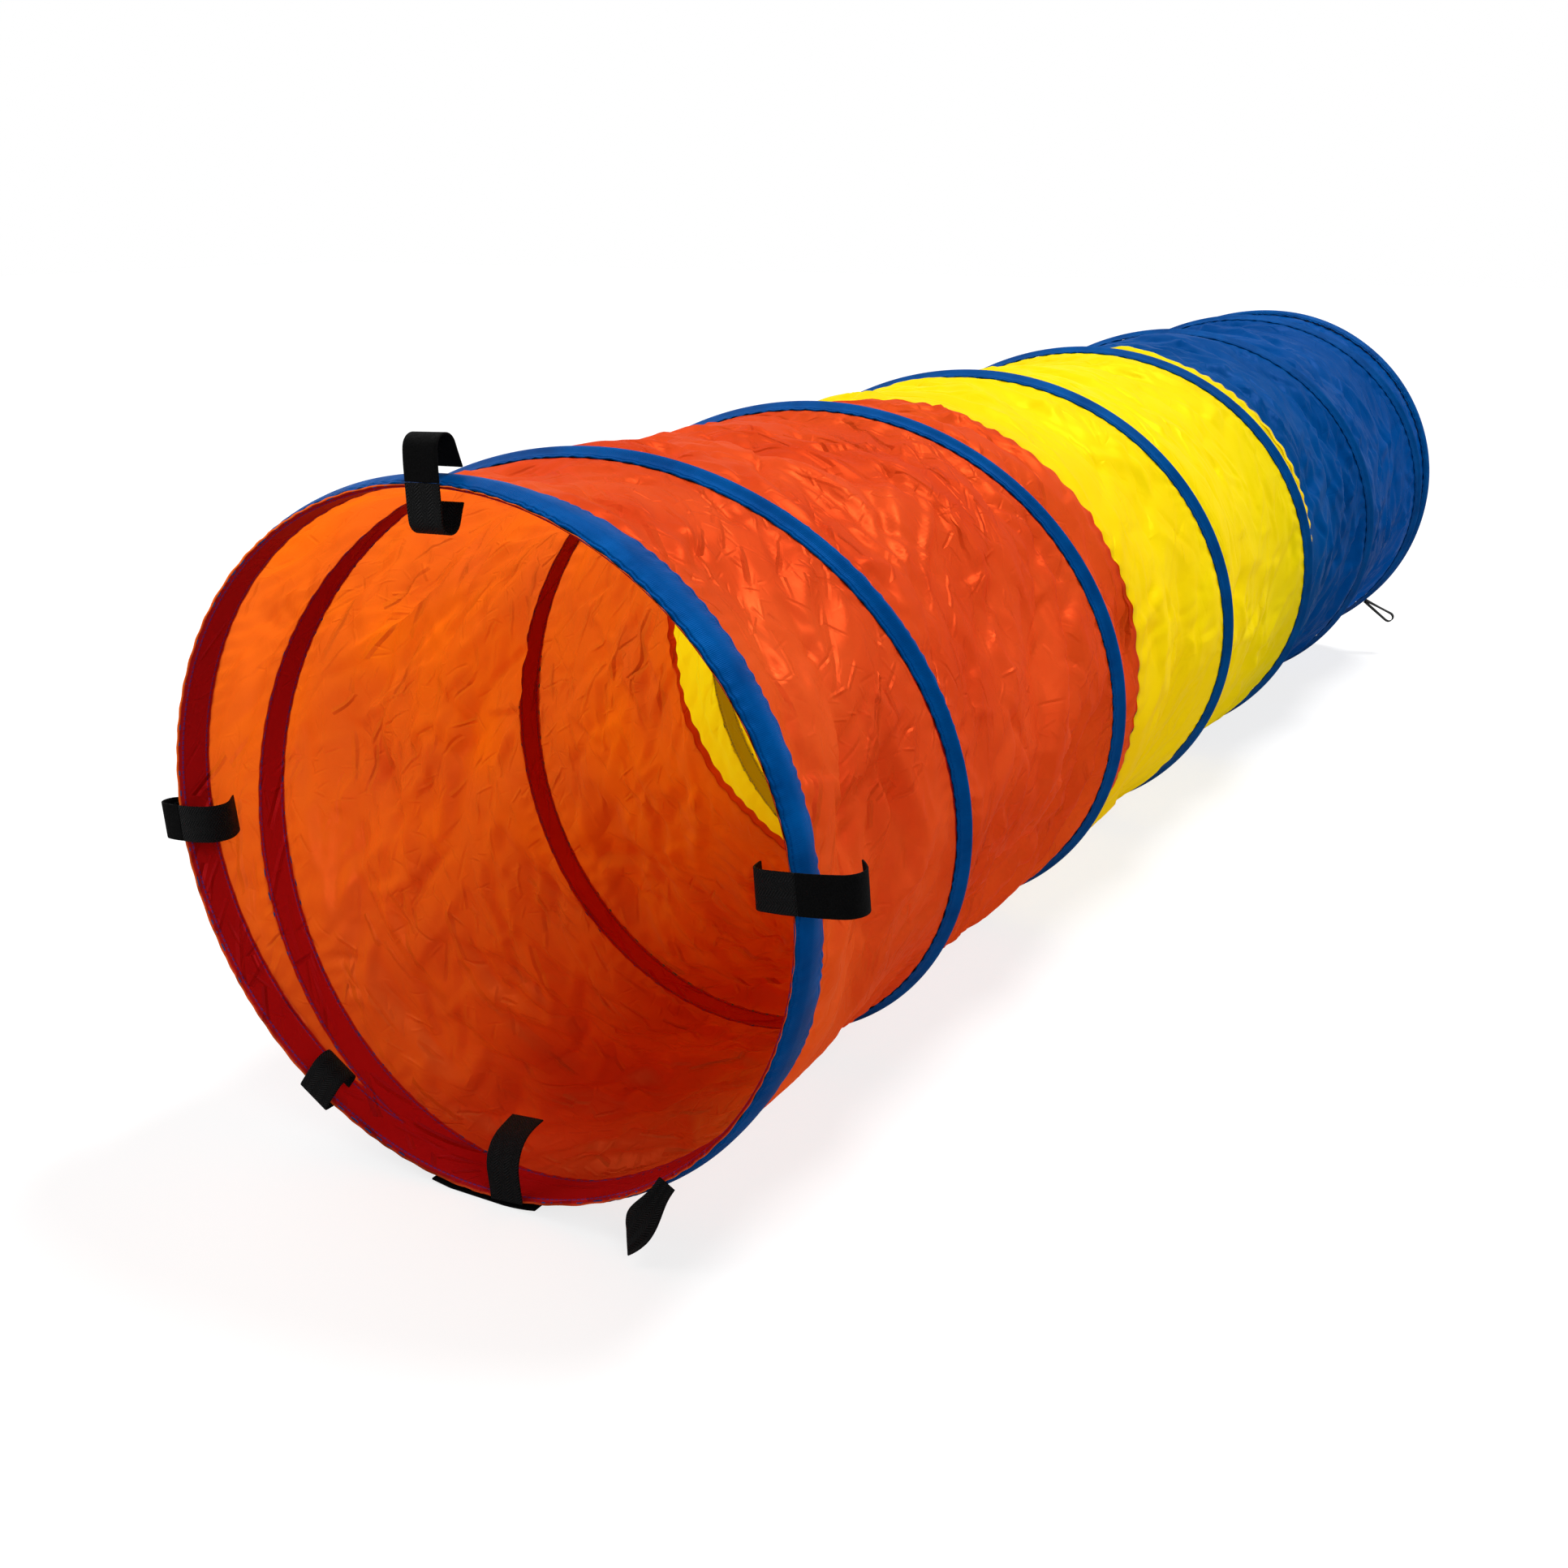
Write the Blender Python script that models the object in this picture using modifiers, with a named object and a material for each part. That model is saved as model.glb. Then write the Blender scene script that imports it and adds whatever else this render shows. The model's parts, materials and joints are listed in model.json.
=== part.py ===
"""Pop-up play tunnel: a spring-steel coil between two hoops, covered by three fabric panels.

Units are metres, +Z is up. The tunnel lies along +Y with its mouth at -Y, centred over the
origin, and rests on z = 0. The round pieces are built in the frame of the empty tunnel_axis:
its Z runs from the plane of the mouth to the far end, and angles are counted from the +X side
up over the top.
"""

import math

import bmesh
import bpy
from mathutils import Matrix, Vector

# Driving dimensions
TUNNEL_LENGTH = 1.800
OUTER_HEIGHT = 0.460
OUTER_WIDTH = 0.474
ORANGE_LENGTH = 0.590
YELLOW_LENGTH = 0.573

COIL_TURNS = 6.14
COIL_START_ANGLE = math.radians(-52.4)
COIL_EASE_TURNS = 0.145
WIRE_DIAMETER = 0.0025

FABRIC_THICKNESS = 0.0008
MOUTH_SAG = 0.003
FAR_SAG = 0.010
SEAM_ALLOWANCE = 0.006
SEAM_THICKNESS = 0.0012

TAPE_THICKNESS = 0.0008
HOOP_TAPE_WIDTH = 0.025
COIL_TAPE_WIDTH = 0.025

FERRULE_LENGTH = 0.020
FERRULE_WALL = 0.0005
FERRULE_CLEARANCE = 0.0003

STRAP_WIDTH = 0.025
STRAP_THICKNESS = 0.0012
SEWN_LENGTH = 0.005
LOOP_WEBBING_WIDTH = 0.010
STORAGE_LOOP_LENGTH = 0.045
STORAGE_LOOP_STANDOFF = 0.00095

GAP = 0.0003

# Facets round the tunnel: one facet faces straight down, so the hoops have a flat to rest on
SIDES = 32
FACET = 2 * math.pi / SIDES
PANEL_ROWS = 5

# Sizes that follow from the driving dimensions
HOOP_RADIUS = OUTER_HEIGHT / 2
SPREAD = OUTER_WIDTH / OUTER_HEIGHT
AXIS_HEIGHT = HOOP_RADIUS + GAP + STRAP_THICKNESS
HOOP_TAPE_INNER = HOOP_RADIUS - TAPE_THICKNESS
CHANNEL_DEPTH = WIRE_DIAMETER + 2 * (FERRULE_CLEARANCE + FERRULE_WALL + GAP)
FABRIC_RADIUS = HOOP_TAPE_INNER - CHANNEL_DEPTH
FABRIC_INNER = FABRIC_RADIUS - FABRIC_THICKNESS
WIRE_RADIUS = FABRIC_RADIUS + CHANNEL_DEPTH / 2
COIL_TAPE_TOP = WIRE_RADIUS + WIRE_DIAMETER / 2 + GAP + TAPE_THICKNESS
COIL_TAPE_FOOT = FABRIC_RADIUS + GAP + TAPE_THICKNESS
WIRE_SPACING = WIRE_DIAMETER + 2 * FERRULE_CLEARANCE + FERRULE_WALL
HOOP_INSET = (HOOP_TAPE_WIDTH - WIRE_SPACING) / 2
COIL_INSET = HOOP_INSET + WIRE_SPACING
COIL_PITCH = (TUNNEL_LENGTH - 2 * COIL_INSET) / (COIL_TURNS - 2 * COIL_EASE_TURNS)
BLUE_LENGTH = TUNNEL_LENGTH - ORANGE_LENGTH - YELLOW_LENGTH

ORANGE = (0.84, 0.16, 0.03, 1.0)
YELLOW = (0.95, 0.75, 0.01, 1.0)
BLUE = (0.01, 0.11, 0.38, 1.0)
TAPE_BLUE = (0.01, 0.09, 0.36, 1.0)
BLACK = (0.012, 0.012, 0.013, 1.0)
STEEL = (0.55, 0.55, 0.56, 1.0)


def clear_scene():
    """Remove every object, so the script can be run again."""
    for old in list(bpy.data.objects):
        bpy.data.objects.remove(old, do_unlink=True)


def make_collection(name):
    """Return a fresh collection linked to the scene."""
    made = bpy.data.collections.new(name)
    bpy.context.scene.collection.children.link(made)
    return made


def material(name, colour, roughness, metallic=0.0):
    """Return a Principled material, made once for each name."""
    found = bpy.data.materials.get(name)
    if found:
        return found
    made = bpy.data.materials.new(name)
    made.use_nodes = True
    shader = made.node_tree.nodes["Principled BSDF"]
    shader.inputs["Base Color"].default_value = colour
    shader.inputs["Roughness"].default_value = roughness
    shader.inputs["Metallic"].default_value = metallic
    made.diffuse_color = colour
    return made


def add_object(name, data, finish):
    """Link a named object, give it its material and parent it to the tunnel's axis."""
    made = bpy.data.objects.new(name, data)
    collection.objects.link(made)
    data.materials.append(finish)
    made.parent = tunnel_axis
    return made


# Geometry of the round tunnel

def facet_radius(flat_radius, angle):
    """Radius at an angle of the regular outline whose flats lie at flat_radius."""
    from_flat = (angle + FACET / 2) % FACET - FACET / 2
    return flat_radius / math.cos(from_flat)


def around(flat_radius, angle, along):
    """Point on the faceted tunnel, in the frame of the tunnel's axis.

    The hoops have settled a little under their own weight, so every ring is SPREAD times wider
    than it is tall.
    """
    radius = facet_radius(flat_radius, angle)
    return Vector((radius * math.cos(angle) * SPREAD, -radius * math.sin(angle), along))


def corner_angle(number):
    """Angle of a corner between two facets."""
    return (number + 0.5) * FACET


def flat_angle(angle):
    """Angle of the middle of the facet nearest to an angle."""
    return FACET * round(angle / FACET)


def eased(turn):
    """Turns' worth of advance of the coil, which leaves and meets the hoops gently."""
    ease = COIL_EASE_TURNS
    turn = min(max(turn, 0.0), COIL_TURNS)
    leaving = ease * (1 - math.exp(-turn / ease))
    meeting = ease * (math.exp(-(COIL_TURNS - turn) / ease) - math.exp(-COIL_TURNS / ease))
    return turn - leaving - meeting


def coil_along(turn):
    """Distance of the coil's wire from the mouth after so many turns."""
    return COIL_INSET + COIL_PITCH * eased(turn)


def coil_angle(turn):
    """Angle of the coil's wire, which runs left under the mouth and then over the top."""
    return COIL_START_ANGLE - 2 * math.pi * turn


def turn_at_angle(angle):
    """Turns wound when the coil is at an angle, counted without wrapping."""
    return (COIL_START_ANGLE - angle) / (2 * math.pi)


def turn_at(along):
    """Turns wound when the coil is so far from the mouth, found by halving."""
    low, high = 0.0, COIL_TURNS
    for _ in range(50):
        middle = (low + high) / 2
        if coil_along(middle) < along:
            low = middle
        else:
            high = middle
    return (low + high) / 2


def sag(angle, along):
    """How far the fabric hangs in between the tapes beside a point."""
    first = turn_at_angle(angle) % 1.0
    turns = [first + whole for whole in range(int(COIL_TURNS) + 1)]
    tapes = [(0.0, HOOP_TAPE_WIDTH)]
    for turn in turns:
        centre = coil_along(turn)
        tapes.append((centre - COIL_TAPE_WIDTH / 2, centre + COIL_TAPE_WIDTH / 2))
    tapes.append((TUNNEL_LENGTH - HOOP_TAPE_WIDTH, TUNNEL_LENGTH))
    full_span = COIL_PITCH - COIL_TAPE_WIDTH
    depth = MOUTH_SAG + (FAR_SAG - MOUTH_SAG) * along / TUNNEL_LENGTH
    for before, after in zip(tapes, tapes[1:]):
        span = after[0] - before[1]
        if before[1] < along < after[0]:
            share = (along - before[1]) / span
            return depth * min(1.0, span / full_span) * 4 * share * (1 - share)
    return 0.0


# Builders

def sheet(name, columns, rows, place, thickness, finish, closed=False):
    """Make a thin solid whose front is a grid with its corners set by place(column, row)."""
    mesh = bpy.data.meshes.new(name)
    grid = bmesh.new()
    bmesh.ops.create_grid(grid, x_segments=columns, y_segments=rows, size=1.0)
    for vertex in grid.verts:
        column = round((vertex.co.x + 1) / 2 * columns)
        row = round((vertex.co.y + 1) / 2 * rows)
        vertex.co = place(column, row)
    if closed:
        bmesh.ops.remove_doubles(grid, verts=grid.verts, dist=GAP / 100)
    grid.to_mesh(mesh)
    grid.free()
    made = add_object(name, mesh, finish)
    wall = made.modifiers.new("thickness", "SOLIDIFY")
    wall.thickness = thickness
    wall.offset = -1.0
    wall.use_even_offset = True
    return made


def wire(name, points, closed, finish):
    """Make a round wire through points."""
    data = bpy.data.curves.new(name, "CURVE")
    data.dimensions = "3D"
    data.bevel_depth = WIRE_DIAMETER / 2
    data.bevel_resolution = 2
    data.use_fill_caps = True
    spline = data.splines.new("POLY")
    spline.points.add(len(points) - 1)
    for point, place in zip(spline.points, points):
        point.co = (*place, 1.0)
    spline.use_cyclic_u = closed
    return add_object(name, data, finish)


def coil_stations(start, end):
    """Turns between start and end at which the coil crosses the tunnel's corners."""
    first = math.ceil((coil_angle(end) - FACET / 2) / FACET - 1e-6)
    last = math.floor((coil_angle(start) - FACET / 2) / FACET + 1e-6)
    crossed = [turn_at_angle(corner_angle(number)) for number in range(last, first - 1, -1)]
    inside = [turn for turn in crossed if start + 1e-4 < turn < end - 1e-4]
    return [start, *inside, end]


def coil_piece(number, start, end, finish):
    """Make the stretch of the coil's wire in one section."""
    cut = GAP / 2 / (2 * math.pi * WIRE_RADIUS)
    turns = coil_stations(start + cut, end - cut)
    points = [around(WIRE_RADIUS, coil_angle(turn), coil_along(turn)) for turn in turns]
    return wire(f"coil_turn_{number}", points, False, finish)


def coil_tape_piece(number, start, end, finish):
    """Make the tape over one section of the coil, trimmed where it meets a hoop's tape."""
    cut = GAP / 2 / (2 * math.pi * COIL_TAPE_TOP)
    turns = coil_stations(start + cut, end - cut)
    crown = WIRE_DIAMETER / 2 + GAP + TAPE_THICKNESS / 2
    profile = [(-COIL_TAPE_WIDTH / 2, COIL_TAPE_FOOT), (-crown, COIL_TAPE_TOP),
               (crown, COIL_TAPE_TOP), (COIL_TAPE_WIDTH / 2, COIL_TAPE_FOOT)]

    def place(column, row):
        across, radius = profile[row]
        turn = turns[column]
        return around(radius, coil_angle(turn), coil_along(turn) + across)

    name = f"coil_tape_{number}"
    made = sheet(name, len(turns) - 1, len(profile) - 1, place, TAPE_THICKNESS, finish)
    trim(made.data, HOOP_TAPE_WIDTH + GAP, -1)
    trim(made.data, TUNNEL_LENGTH - HOOP_TAPE_WIDTH - GAP, 1)
    return made


def trim(mesh, along, side):
    """Cut away what an open surface has beyond a plane across the tunnel."""
    cut = bmesh.new()
    cut.from_mesh(mesh)
    bmesh.ops.bisect_plane(cut, geom=cut.verts[:] + cut.edges[:] + cut.faces[:], dist=GAP / 10,
                           plane_co=(0, 0, along), plane_no=(0, 0, side), clear_outer=True)
    cut.to_mesh(mesh)
    cut.free()


def tube(name, stations, outer_radius, thickness, finish):
    """Make a tube of cloth that hangs in between the tapes, with rings at the stations."""

    def place(column, row):
        angle = corner_angle(-column)
        along = stations[row]
        return around(outer_radius - sag(angle, along), angle, along)

    return sheet(name, SIDES, len(stations) - 1, place, thickness, finish, closed=True)


def panel(name, start, end, finish):
    """Make the fabric of one section, with a ring at each seam allowance."""
    low, high = start + GAP / 2, end - GAP / 2
    inner_low, inner_high = start + SEAM_ALLOWANCE, end - SEAM_ALLOWANCE
    step = (inner_high - inner_low) / PANEL_ROWS
    stations = [low] + [inner_low + step * row for row in range(PANEL_ROWS + 1)] + [high]
    return tube(name, stations, FABRIC_RADIUS, FABRIC_THICKNESS, finish)


def seam(name, along, finish):
    """Make the felled seam that joins two panels, inside the fabric."""
    stations = [along - SEAM_ALLOWANCE, along, along + SEAM_ALLOWANCE]
    return tube(name, stations, FABRIC_INNER - GAP, SEAM_THICKNESS, finish)


def hoop(end_name, along, finish):
    """Make the closed wire hoop at one end."""
    points = [around(WIRE_RADIUS, corner_angle(number), along) for number in range(SIDES)]
    return wire(f"{end_name}_hoop", points, True, finish)


def hoop_tape(end_name, rim, inward, finish):
    """Make the tape round a hoop: a wall at the rim and a band over the wires."""
    foot = FABRIC_RADIUS + GAP
    outline = [(foot, 0.0), (HOOP_RADIUS, 0.0), (HOOP_RADIUS, HOOP_TAPE_WIDTH),
               (HOOP_TAPE_INNER, HOOP_TAPE_WIDTH), (HOOP_TAPE_INNER, TAPE_THICKNESS),
               (foot, TAPE_THICKNESS)]
    if inward > 0:
        outline.reverse()
    to_corner = 1 / math.cos(FACET / 2)
    mesh = bpy.data.meshes.new(f"{end_name}_hoop_tape")
    profile = bmesh.new()
    corners = [profile.verts.new((radius * to_corner, 0.0, rim + inward * along))
               for radius, along in outline]
    for first, second in zip(corners, corners[1:] + corners[:1]):
        profile.edges.new((first, second))
    bmesh.ops.rotate(profile, verts=profile.verts,
                     matrix=Matrix.Rotation(corner_angle(0), 3, "Z"))
    profile.to_mesh(mesh)
    profile.free()
    made = add_object(f"{end_name}_hoop_tape", mesh, finish)
    made.scale = (SPREAD, 1.0, 1.0)
    turned = made.modifiers.new("turned", "SCREW")
    turned.steps = turned.render_steps = SIDES
    turned.angle = 2 * math.pi
    turned.use_merge_vertices = True
    turned.merge_threshold = GAP / 10
    turned.use_smooth_shade = False
    return made


def ferrule(end_name, angle, middle, finish):
    """Make the crimped sleeve that holds a hoop's wire beside the coil's first wire."""
    bore = WIRE_DIAMETER / 2 + FERRULE_CLEARANCE
    depth = 2 * (bore + FERRULE_WALL)
    height = depth + WIRE_SPACING
    name = f"{end_name}_ferrule"
    mesh = bpy.data.meshes.new(name)
    block = bmesh.new()
    bmesh.ops.create_cube(block, size=1.0)
    bmesh.ops.scale(block, verts=block.verts, vec=(depth, FERRULE_LENGTH, height))
    long_edges = [edge for edge in block.edges
                  if abs((edge.verts[0].co - edge.verts[1].co).y) > FERRULE_LENGTH / 2]
    bmesh.ops.bevel(block, geom=long_edges, offset=FERRULE_WALL, segments=1, profile=0.5,
                    affect="EDGES", material=-1)
    block.to_mesh(mesh)
    block.free()
    made = add_object(name, mesh, finish)
    made.location = around(WIRE_RADIUS, angle, middle)
    away = outward(angle)
    made.rotation_euler = (0.0, 0.0, math.atan2(away.y, away.x))
    for side in (-1, 1):
        cutter = bore_cutter(f"{name}_bore", bore, side * WIRE_SPACING / 2)
        cutter.parent = made
        cut = made.modifiers.new("bore", "BOOLEAN")
        cut.operation = "DIFFERENCE"
        cut.solver = "EXACT"
        cut.object = cutter
    return made


def bore_cutter(name, bore, offset):
    """Make the guide that cuts one of a ferrule's two bores."""
    mesh = bpy.data.meshes.new(name)
    rod = bmesh.new()
    turned = Matrix.Translation((0, 0, offset)) @ Matrix.Rotation(math.pi / 2, 4, "X")
    bmesh.ops.create_cone(rod, cap_ends=True, segments=12, radius1=bore, radius2=bore,
                          depth=2 * FERRULE_LENGTH, matrix=turned)
    rod.to_mesh(mesh)
    rod.free()
    made = bpy.data.objects.new(name, mesh)
    cutters.objects.link(made)
    made.hide_render = True
    made.display_type = "WIRE"
    return made


# Straps: flat strips that leave the rim at a sewn root and bend about their width

def strip_path(stretches, step=math.radians(24)):
    """Points of a strip seen edge-on: its sewn end, then (length, bend) stretches curling to +Y."""
    x, y, heading = 0.0, 0.0, 0.0
    points = [(x, y, heading)]
    for length, bend in [(SEWN_LENGTH, 0.0), *stretches]:
        pieces = max(1, math.ceil(abs(bend) / step))
        for _ in range(pieces):
            middle = heading + bend / pieces / 2
            x += length / pieces * math.cos(middle)
            y += length / pieces * math.sin(middle)
            heading += bend / pieces
            points.append((x, y, heading))
    return points


def strap(name, frame, path, width, finish, twist=0.0):
    """Make a strip on the +Y side of a path, in a frame with X along the strap at its root.

    Where it's twisted, the twist is eased in, so that the strip leaves the rim flat.
    """
    last = len(path) - 1

    def place(column, row):
        x, y, heading = path[column]
        turn = twist * (column / last) ** 3
        across = Vector((0.0, 0.0, math.cos(turn)))
        across += Vector((-math.sin(heading), math.cos(heading), 0.0)) * math.sin(turn)
        return Vector((x, y, 0.0)) + across * width * (row - 0.5)

    made = sheet(name, last, 1, place, STRAP_THICKNESS, finish)
    made.matrix_local = frame
    return made


def frame_of(origin, along, curl):
    """Frame at the line a strap hinges on, with X along the strap and Y to the curl's side."""
    x = along.normalized()
    y = (curl - x * curl.dot(x)).normalized()
    z = x.cross(y)
    turned = Matrix((x, y, z)).transposed()
    return Matrix.Translation(origin) @ turned.to_4x4()


def outward(angle):
    """Unit vector square to the tunnel's wall."""
    return Vector((math.cos(angle) / SPREAD, -math.sin(angle), 0.0)).normalized()


def forward_round(angle):
    """Unit vector round the tunnel, the way the angle grows."""
    return Vector((-math.sin(angle) * SPREAD, -math.cos(angle), 0.0)).normalized()


ALONG_AXIS = Vector((0.0, 0.0, 1.0))
STRAP_FRONT = -(GAP + STRAP_THICKNESS)
SEWN_RADIUS = (FABRIC_RADIUS + HOOP_RADIUS) / 2
BEND = math.radians


def tie(side, angle_degrees, outer_stretches, inner_stretches, finish):
    """Make a tie's two strips, sewn edge to edge on the face of the rim."""
    angle = math.radians(angle_degrees)
    away = outward(angle)
    middle = around(SEWN_RADIUS, angle, STRAP_FRONT)
    for kind, direction, stretches in (("loop", away, outer_stretches),
                                       ("hook", -away, inner_stretches)):
        root = middle + direction * GAP / 2
        frame = frame_of(root, direction, ALONG_AXIS)
        strap(f"{side}_{kind}_strap", frame, strip_path(stretches), STRAP_WIDTH, finish)


def bottom_tie(finish):
    """Make the bottom tie, whose outer strip is turned aside and lies under the rim."""
    angle = math.radians(276)
    away = outward(angle)
    root = around(SEWN_RADIUS, angle, STRAP_FRONT) - away * GAP / 2
    inner = strip_path([(0.015, 0.0), (0.030, BEND(75)), (0.015, BEND(10))])
    strap("bottom_hook_strap", frame_of(root, -away, ALONG_AXIS), inner, STRAP_WIDTH, finish)

    sewn = math.radians(281)
    free = math.radians(261)
    radius = HOOP_RADIUS + GAP + STRAP_THICKNESS
    first = math.ceil((free - FACET / 2) / FACET)
    last = math.floor((sewn - FACET / 2) / FACET)
    angles = [sewn] + [corner_angle(number) for number in range(last, first - 1, -1)] + [free]
    root = around(radius, sewn, STRAP_WIDTH / 2)

    def place(column, row):
        on_rim = around(radius, angles[column], STRAP_WIDTH * row)
        return on_rim - root

    made = sheet("bottom_loop_strap", len(angles) - 1, 1, place, STRAP_THICKNESS, finish)
    made.location = root


def storage_straps(finish):
    """Make the two straps that hold the flattened tunnel shut, where they lie in the photo."""
    angle = flat_angle(math.radians(238))
    away = outward(angle)
    root = around(HOOP_RADIUS + GAP + STRAP_THICKNESS, angle, HOOP_TAPE_WIDTH / 2)
    wrapped = strip_path([(0.011, 0.0), (0.006, BEND(95)), (0.020, BEND(5)),
                          (0.026, BEND(185)), (0.006, 0.0)])
    strap("left_storage_strap", frame_of(root, -ALONG_AXIS, -away), wrapped, STRAP_WIDTH, finish)

    angle = math.radians(308.6)
    root = around(SEWN_RADIUS, angle, -GAP)
    down = Vector((-0.474, 0.841, -0.13))
    hanging = strip_path([(0.0103, 0.0)] * 5)
    strap("right_storage_strap", frame_of(root, down, -ALONG_AXIS), hanging, STRAP_WIDTH,
          finish, twist=BEND(-57))


def storage_loop(side, angle_degrees, lean_degrees, finish):
    """Make a loop of narrow webbing on the far hoop's tape, for a storage strap to pass through."""
    angle = flat_angle(math.radians(angle_degrees))
    lean = math.radians(lean_degrees)
    along = outward(angle + lean)
    across = forward_round(angle + lean)
    root = around(HOOP_RADIUS + STORAGE_LOOP_STANDOFF, angle,
                  TUNNEL_LENGTH - HOOP_TAPE_WIDTH / 2)
    splay = math.radians(7)
    turn = math.pi + 2 * splay
    half_root = STRAP_THICKNESS + GAP / 2
    leg = STORAGE_LOOP_LENGTH / (1 + math.sin(splay))
    turn_radius = (half_root + leg * math.sin(splay)) / math.cos(splay)
    frame = frame_of(root, along, across)
    path = strip_path([(leg - SEWN_LENGTH, 0.0), (turn_radius * turn, turn), (leg, 0.0)])
    tilt = Matrix.Rotation(-splay, 4, "Z")
    shift = Matrix.Translation((0.0, -half_root, 0.0))
    strap(f"{side}_storage_loop", frame @ shift @ tilt, path, LOOP_WEBBING_WIDTH, finish)


clear_scene()
collection = make_collection("play_tunnel")
cutters = make_collection("cutters")

tunnel_axis = bpy.data.objects.new("tunnel_axis", None)
tunnel_axis.location = (0.0, -TUNNEL_LENGTH / 2, AXIS_HEIGHT)
tunnel_axis.rotation_euler = (-math.pi / 2, 0.0, 0.0)
collection.objects.link(tunnel_axis)

orange_cloth = material("orange_cloth", ORANGE, 0.45)
yellow_cloth = material("yellow_cloth", YELLOW, 0.45)
blue_cloth = material("blue_cloth", BLUE, 0.45)
blue_tape = material("blue_tape", TAPE_BLUE, 0.5)
black_strap = material("black_strap", BLACK, 0.85)
spring_steel = material("spring_steel", STEEL, 0.3, 1.0)
crimp_steel = material("crimp_steel", STEEL, 0.45, 1.0)

# Each panel is two sections, and each section holds about one turn of the coil
panels = [("orange_panel", ORANGE_LENGTH, orange_cloth),
          ("yellow_panel", YELLOW_LENGTH, yellow_cloth),
          ("blue_panel", BLUE_LENGTH, blue_cloth)]
panel_start = 0.0
section = 0
for panel_name, panel_length, cloth in panels:
    for part_name in ("front", "rear"):
        section_start = panel_start if part_name == "front" else panel_start + panel_length / 2
        section_end = section_start + panel_length / 2
        section += 1
        panel(f"{panel_name}_{part_name}", section_start, section_end, cloth)
        first_turn = turn_at(section_start) if section > 1 else turn_at_angle(
            FACET * (math.ceil(COIL_START_ANGLE / FACET) + 0.5))
        last_turn = turn_at(section_end) if section < 2 * len(panels) else turn_at_angle(
            FACET * (math.floor(coil_angle(COIL_TURNS) / FACET) - 0.5))
        coil_piece(section, first_turn, last_turn, spring_steel)
        coil_tape_piece(section, max(first_turn, 0.0), min(last_turn, COIL_TURNS), blue_tape)
    panel_start += panel_length

seam("orange_yellow_seam", ORANGE_LENGTH, orange_cloth)
seam("yellow_blue_seam", ORANGE_LENGTH + YELLOW_LENGTH, yellow_cloth)

hoop("front", HOOP_INSET, spring_steel)
hoop("rear", TUNNEL_LENGTH - HOOP_INSET, spring_steel)
hoop_tape("front", 0.0, 1, blue_tape)
hoop_tape("rear", TUNNEL_LENGTH, -1, blue_tape)
ferrule("front", FACET * math.ceil(COIL_START_ANGLE / FACET), HOOP_TAPE_WIDTH / 2, crimp_steel)
ferrule("rear", FACET * math.floor(coil_angle(COIL_TURNS) / FACET),
        TUNNEL_LENGTH - HOOP_TAPE_WIDTH / 2, crimp_steel)

tie("top", 92,
    [(0.014, BEND(5)), (0.024, BEND(155)), (0.016, BEND(5))],
    [(0.017, 0.0), (0.024, BEND(160)), (0.012, 0.0)], black_strap)
tie("right", 6,
    [(0.023, BEND(10)), (0.022, BEND(110)), (0.014, BEND(10))],
    [(0.021, BEND(12)), (0.014, BEND(14))], black_strap)
tie("left", 184,
    [(0.009, BEND(10)), (0.042, BEND(300))],
    [(0.022, BEND(25)), (0.022, BEND(85)), (0.008, 0.0)], black_strap)
bottom_tie(black_strap)
storage_straps(black_strap)
storage_loop("right", -45, 16, black_strap)
storage_loop("left", -135, -16, black_strap)
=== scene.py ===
"""Dress the pop-up play tunnel: crinkled cloth, stitched binding tape, webbing straps and studio.

Everything is in metres in the frame of the CAD model: +Y runs from the mouth to the far end,
+Z is up, and angles round the tunnel are counted from the +X side up over the top.
"""

from __future__ import annotations

import json
import logging
import math
from contextlib import contextmanager
from dataclasses import dataclass, field
from enum import Enum
from typing import Any, Callable, Iterable, Iterator, Sequence

import bmesh
import bpy
import numpy as np
from mathutils import Matrix, Vector

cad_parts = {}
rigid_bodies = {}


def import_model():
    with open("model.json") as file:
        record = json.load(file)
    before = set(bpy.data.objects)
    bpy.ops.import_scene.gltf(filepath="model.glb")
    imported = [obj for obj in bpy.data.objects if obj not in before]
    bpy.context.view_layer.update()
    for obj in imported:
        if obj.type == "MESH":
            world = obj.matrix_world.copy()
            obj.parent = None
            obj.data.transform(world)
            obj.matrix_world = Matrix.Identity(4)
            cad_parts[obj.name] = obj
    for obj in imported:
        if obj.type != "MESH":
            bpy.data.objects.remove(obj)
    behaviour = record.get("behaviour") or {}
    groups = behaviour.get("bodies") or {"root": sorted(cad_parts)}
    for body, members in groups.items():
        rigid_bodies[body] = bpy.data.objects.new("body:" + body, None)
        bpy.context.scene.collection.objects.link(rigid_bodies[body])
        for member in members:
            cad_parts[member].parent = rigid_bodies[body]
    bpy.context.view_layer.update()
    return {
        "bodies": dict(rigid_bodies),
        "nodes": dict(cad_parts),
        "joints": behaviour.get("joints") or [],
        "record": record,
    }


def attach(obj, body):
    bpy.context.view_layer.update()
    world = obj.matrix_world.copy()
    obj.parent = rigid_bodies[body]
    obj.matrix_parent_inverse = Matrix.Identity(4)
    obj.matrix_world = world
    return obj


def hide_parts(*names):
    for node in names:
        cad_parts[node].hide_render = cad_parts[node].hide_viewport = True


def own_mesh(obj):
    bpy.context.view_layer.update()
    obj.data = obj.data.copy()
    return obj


LOG = logging.getLogger("play_tunnel")

Colour = tuple[float, float, float]
Stretch = tuple[float, float]
Array = np.ndarray
Socket = bpy.types.NodeSocket

# Takes the columns and rows of a grid's points, and gives a place or a number for each
Field = Callable[[Array, Array], Array]


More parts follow.
